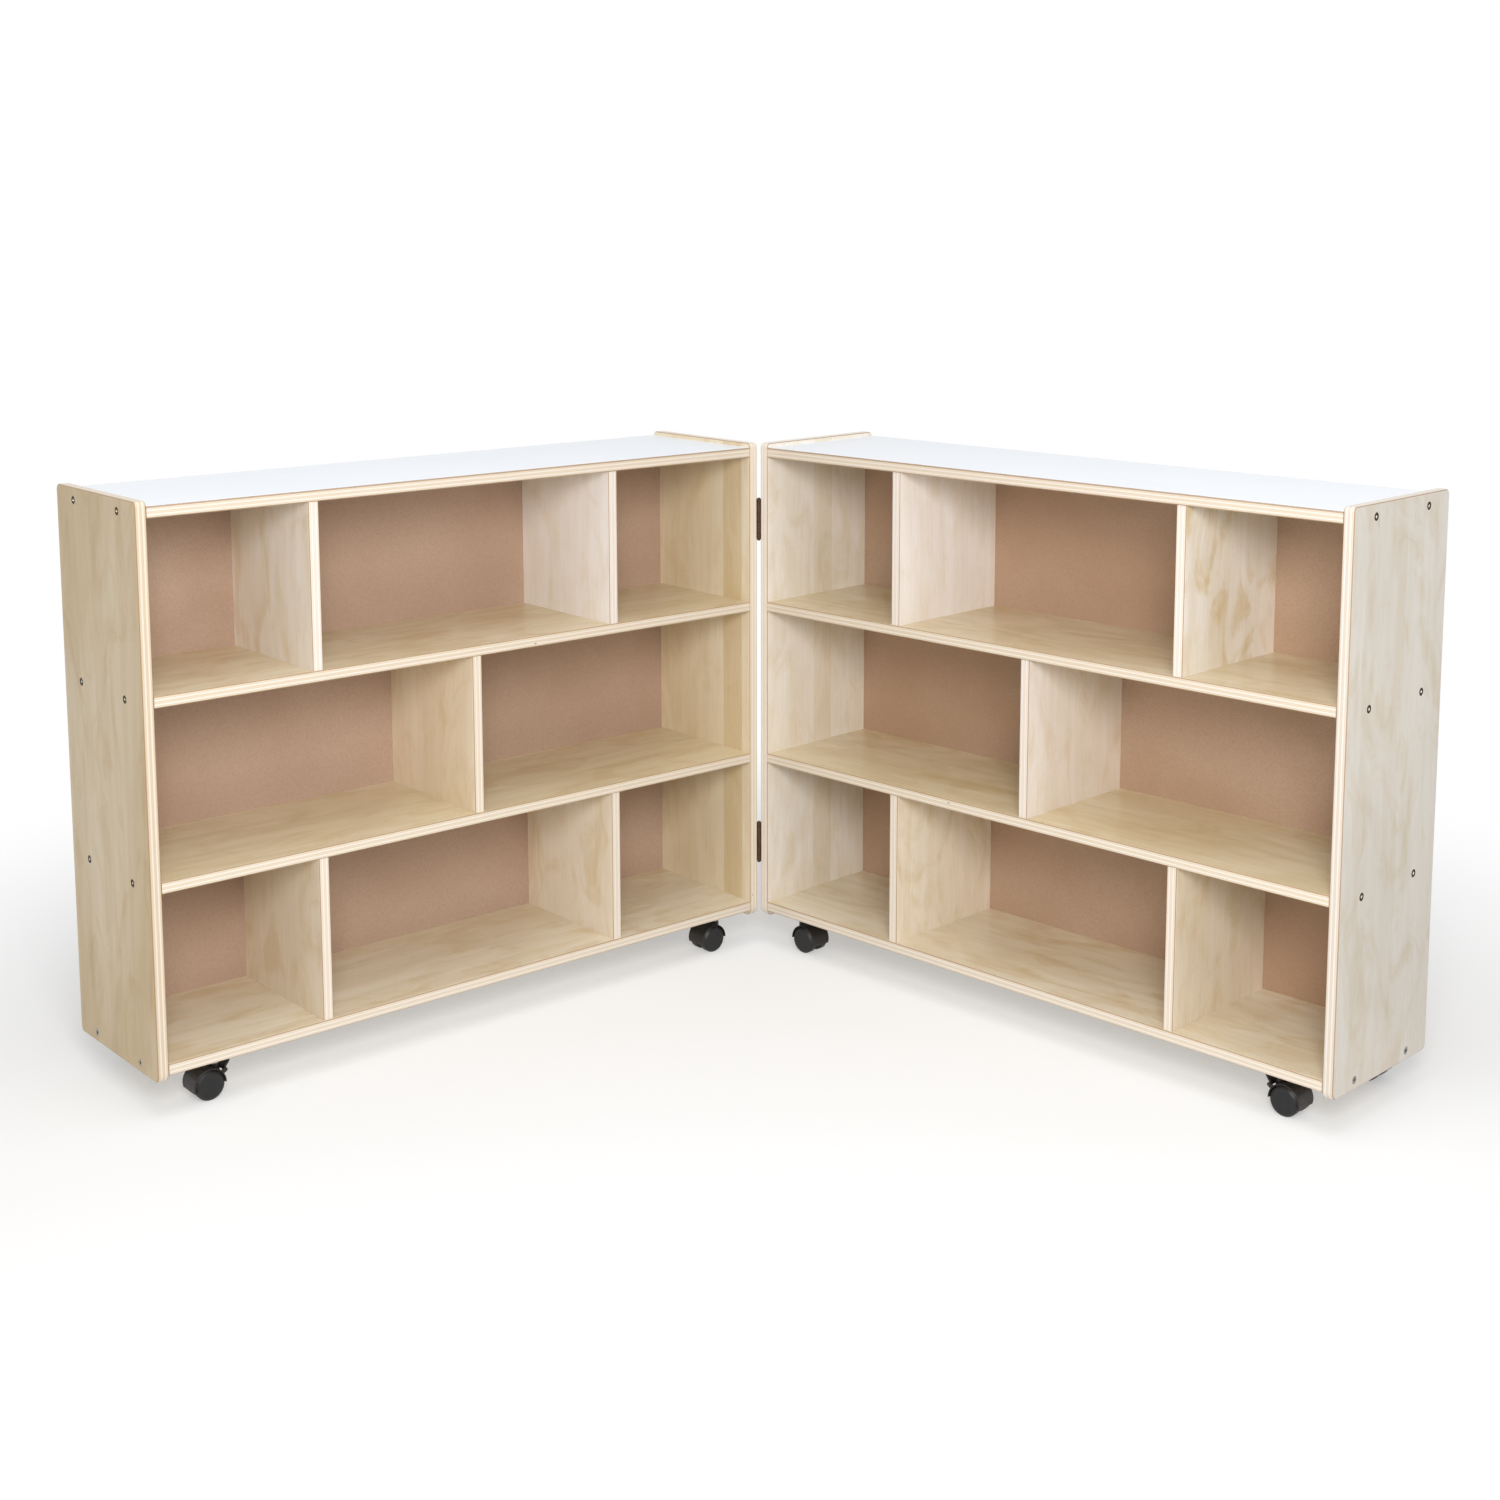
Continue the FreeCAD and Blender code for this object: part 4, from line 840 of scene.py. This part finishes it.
SIDE_SCREW = {
    "Face Radius": 0.0065, "Rim Radius": 0.0065, "Rim Depth": 0.0002, "Neck Radius": 0.0025,
    "Head Depth": 0.0038, "Shank Radius": 0.0025, "Length": 0.045, "Recess Width": 0.0056,
    "Recess Slot": 0.002, "Recess Depth": 0.001,
}
HINGE_SCREW = {
    "Face Radius": 0.0034, "Rim Radius": 0.0034, "Rim Depth": 0.0001, "Neck Radius": 0.0017,
    "Head Depth": 0.0016, "Shank Radius": 0.0017, "Length": 0.015, "Recess Width": 0.0036,
    "Recess Slot": 0.001, "Recess Depth": 0.0012,
}
PLATE_SCREW = {
    "Face Radius": 0.0029, "Rim Radius": 0.004, "Rim Depth": 0.0011, "Neck Radius": 0.004,
    "Head Depth": 0.0011, "Shank Radius": 0.002, "Length": 0.0162, "Recess Width": 0.0042,
    "Recess Slot": 0.0012, "Recess Depth": 0.0014,
}
BOTTOM_ROW_BELOW = 0.2
ANY_HEIGHT = (0.0, 10.0)


def dress_screws():
    """Recessed screws in place of the plain ones, with the bottom row of the sides in bare zinc."""
    tree = screw_tree()
    rows = [("upper_rows", DARK_SCREW, (BOTTOM_ROW_BELOW, ANY_HEIGHT[1])),
            ("bottom_row", ZINC_SCREW, (ANY_HEIGHT[0], BOTTOM_ROW_BELOW))]
    bronze = [("with_recess", BRONZE_SCREW, ANY_HEIGHT)]
    zinc = [("with_recess", ZINC_SCREW, ANY_HEIGHT)]
    for side in TURNS:
        along = cabinet_axes(side)[0]
        replace_screws(tree, f"{side}_side_screws", along, SIDE_SCREW, rows)
        replace_screws(tree, f"{side}_hinge_screws", along, HINGE_SCREW, bronze)
        replace_screws(tree, f"{side}_caster_plate_screws", UP, PLATE_SCREW, zinc)


# Stage, light and camera

# The floor's share of plain white rises from FLOOR_LIFT near the part to 1 over the distances of
# FLOOR_FADE from its middle.
FLOOR_SIZE = 40.0
FLOOR_PAINT = (0.94, 0.94, 0.94, 1)
FLOOR_FADE = (1.1, 2.3)
FLOOR_LIFT = 0.4
WHITE = (1, 1, 1, 1)

# Each lamp's name, place, width and power.
LAMPS = (
    ("key_lamp", (-1.8, -2.4, 2.0), 1.2, 80.0),
    ("top_lamp", (-0.7, -0.8, 4.2), 3.0, 62.0),
)
WORLD_LIGHT = 0.4
LOOK_AT = Vector((0.1, 0.0, 0.5))

CAMERA_PLACE = (-2.1239, -2.4986, 1.4101)
CAMERA_YAW = math.radians(40.576)
CAMERA_PITCH = math.radians(-7.874)
CAMERA_ROLL = math.radians(-0.062)
CAMERA_LENS = 50.465
CAMERA_SENSOR = 36.0
CAMERA_SHIFT = (-0.00443, -0.16742)


def seen_directly(tree):
    """1 for rays from the camera, in reflections and through glass, and 0 for the rest."""
    path = add(tree, "ShaderNodeLightPath").outputs
    seen = calc(tree, "MAXIMUM", path["Is Camera Ray"], path["Is Glossy Ray"])
    return calc(tree, "MAXIMUM", seen, path["Is Transmission Ray"])


def lay_floor():
    """A pale floor that keeps the shadow near the part and goes white further out."""
    reach = FLOOR_SIZE / 2
    corners = [(-reach, -reach, 0), (reach, -reach, 0), (reach, reach, 0), (-reach, reach, 0)]
    mesh = bpy.data.meshes.new("floor")
    mesh.from_pydata(corners, [], [(0, 1, 2, 3)])
    floor = bpy.data.objects.new("floor", mesh)
    bpy.context.scene.collection.objects.link(floor)
    material = bpy.data.materials.new("floor_paint")
    material.use_nodes = True
    tree = material.node_tree
    tree.nodes.clear()
    away = add(tree, "ShaderNodeVectorMath", {0: own_point(tree)}, operation="LENGTH").outputs["Value"]
    paint = add(tree, "ShaderNodeBsdfDiffuse", {"Color": FLOOR_PAINT})
    white = add(tree, "ShaderNodeEmission", {"Color": WHITE, "Strength": 1.0})
    share = times(tree, seen_directly(tree), ramp(tree, away, *FLOOR_FADE, FLOOR_LIFT))
    surface = add(tree, "ShaderNodeMixShader", {0: share, 1: paint.outputs[0], 2: white.outputs[0]})
    add(tree, "ShaderNodeOutputMaterial", {"Surface": surface.outputs[0]})
    mesh.materials.append(material)


def light_the_room():
    """Soft lamps and an even white surround."""
    world = bpy.data.worlds.new("surround")
    bpy.context.scene.world = world
    world.use_nodes = True
    tree = world.node_tree
    tree.nodes.clear()
    even = add(tree, "ShaderNodeBackground", {"Color": WHITE, "Strength": WORLD_LIGHT})
    white = add(tree, "ShaderNodeBackground", {"Color": WHITE, "Strength": 1.0})
    mix = {0: seen_directly(tree), 1: even.outputs[0], 2: white.outputs[0]}
    mixed = add(tree, "ShaderNodeMixShader", mix)
    add(tree, "ShaderNodeOutputWorld", {"Surface": mixed.outputs[0]})
    for name, place, size, power in LAMPS:
        data = bpy.data.lights.new(name, "AREA")
        data.shape = "DISK"
        data.size = size
        data.energy = power
        lamp = bpy.data.objects.new(name, data)
        lamp.location = place
        lamp.rotation_mode = "QUATERNION"
        lamp.rotation_quaternion = (LOOK_AT - Vector(place)).to_track_quat("-Z", "Y")
        bpy.context.scene.collection.objects.link(lamp)


def place_camera():
    """The photograph's view."""
    data = bpy.data.cameras.new("camera")
    data.sensor_width = CAMERA_SENSOR
    data.lens = CAMERA_LENS
    data.shift_x, data.shift_y = CAMERA_SHIFT
    camera = bpy.data.objects.new("camera", data)
    camera.location = CAMERA_PLACE
    yaw = Matrix.Rotation(-CAMERA_YAW, 3, "Z")
    level = yaw @ Matrix.Rotation(math.pi / 2 + CAMERA_PITCH, 3, "X")
    camera.rotation_mode = "QUATERNION"
    camera.rotation_quaternion = (level @ Matrix.Rotation(CAMERA_ROLL, 3, "Z")).to_quaternion()
    bpy.context.scene.collection.objects.link(camera)
    bpy.context.scene.camera = camera


dress_boards()
dress_sheets()
dress_casters()
dress_hinges()
dress_screws()
lay_floor()
light_the_room()
place_camera()
bpy.context.scene.view_settings.view_transform = "Standard"
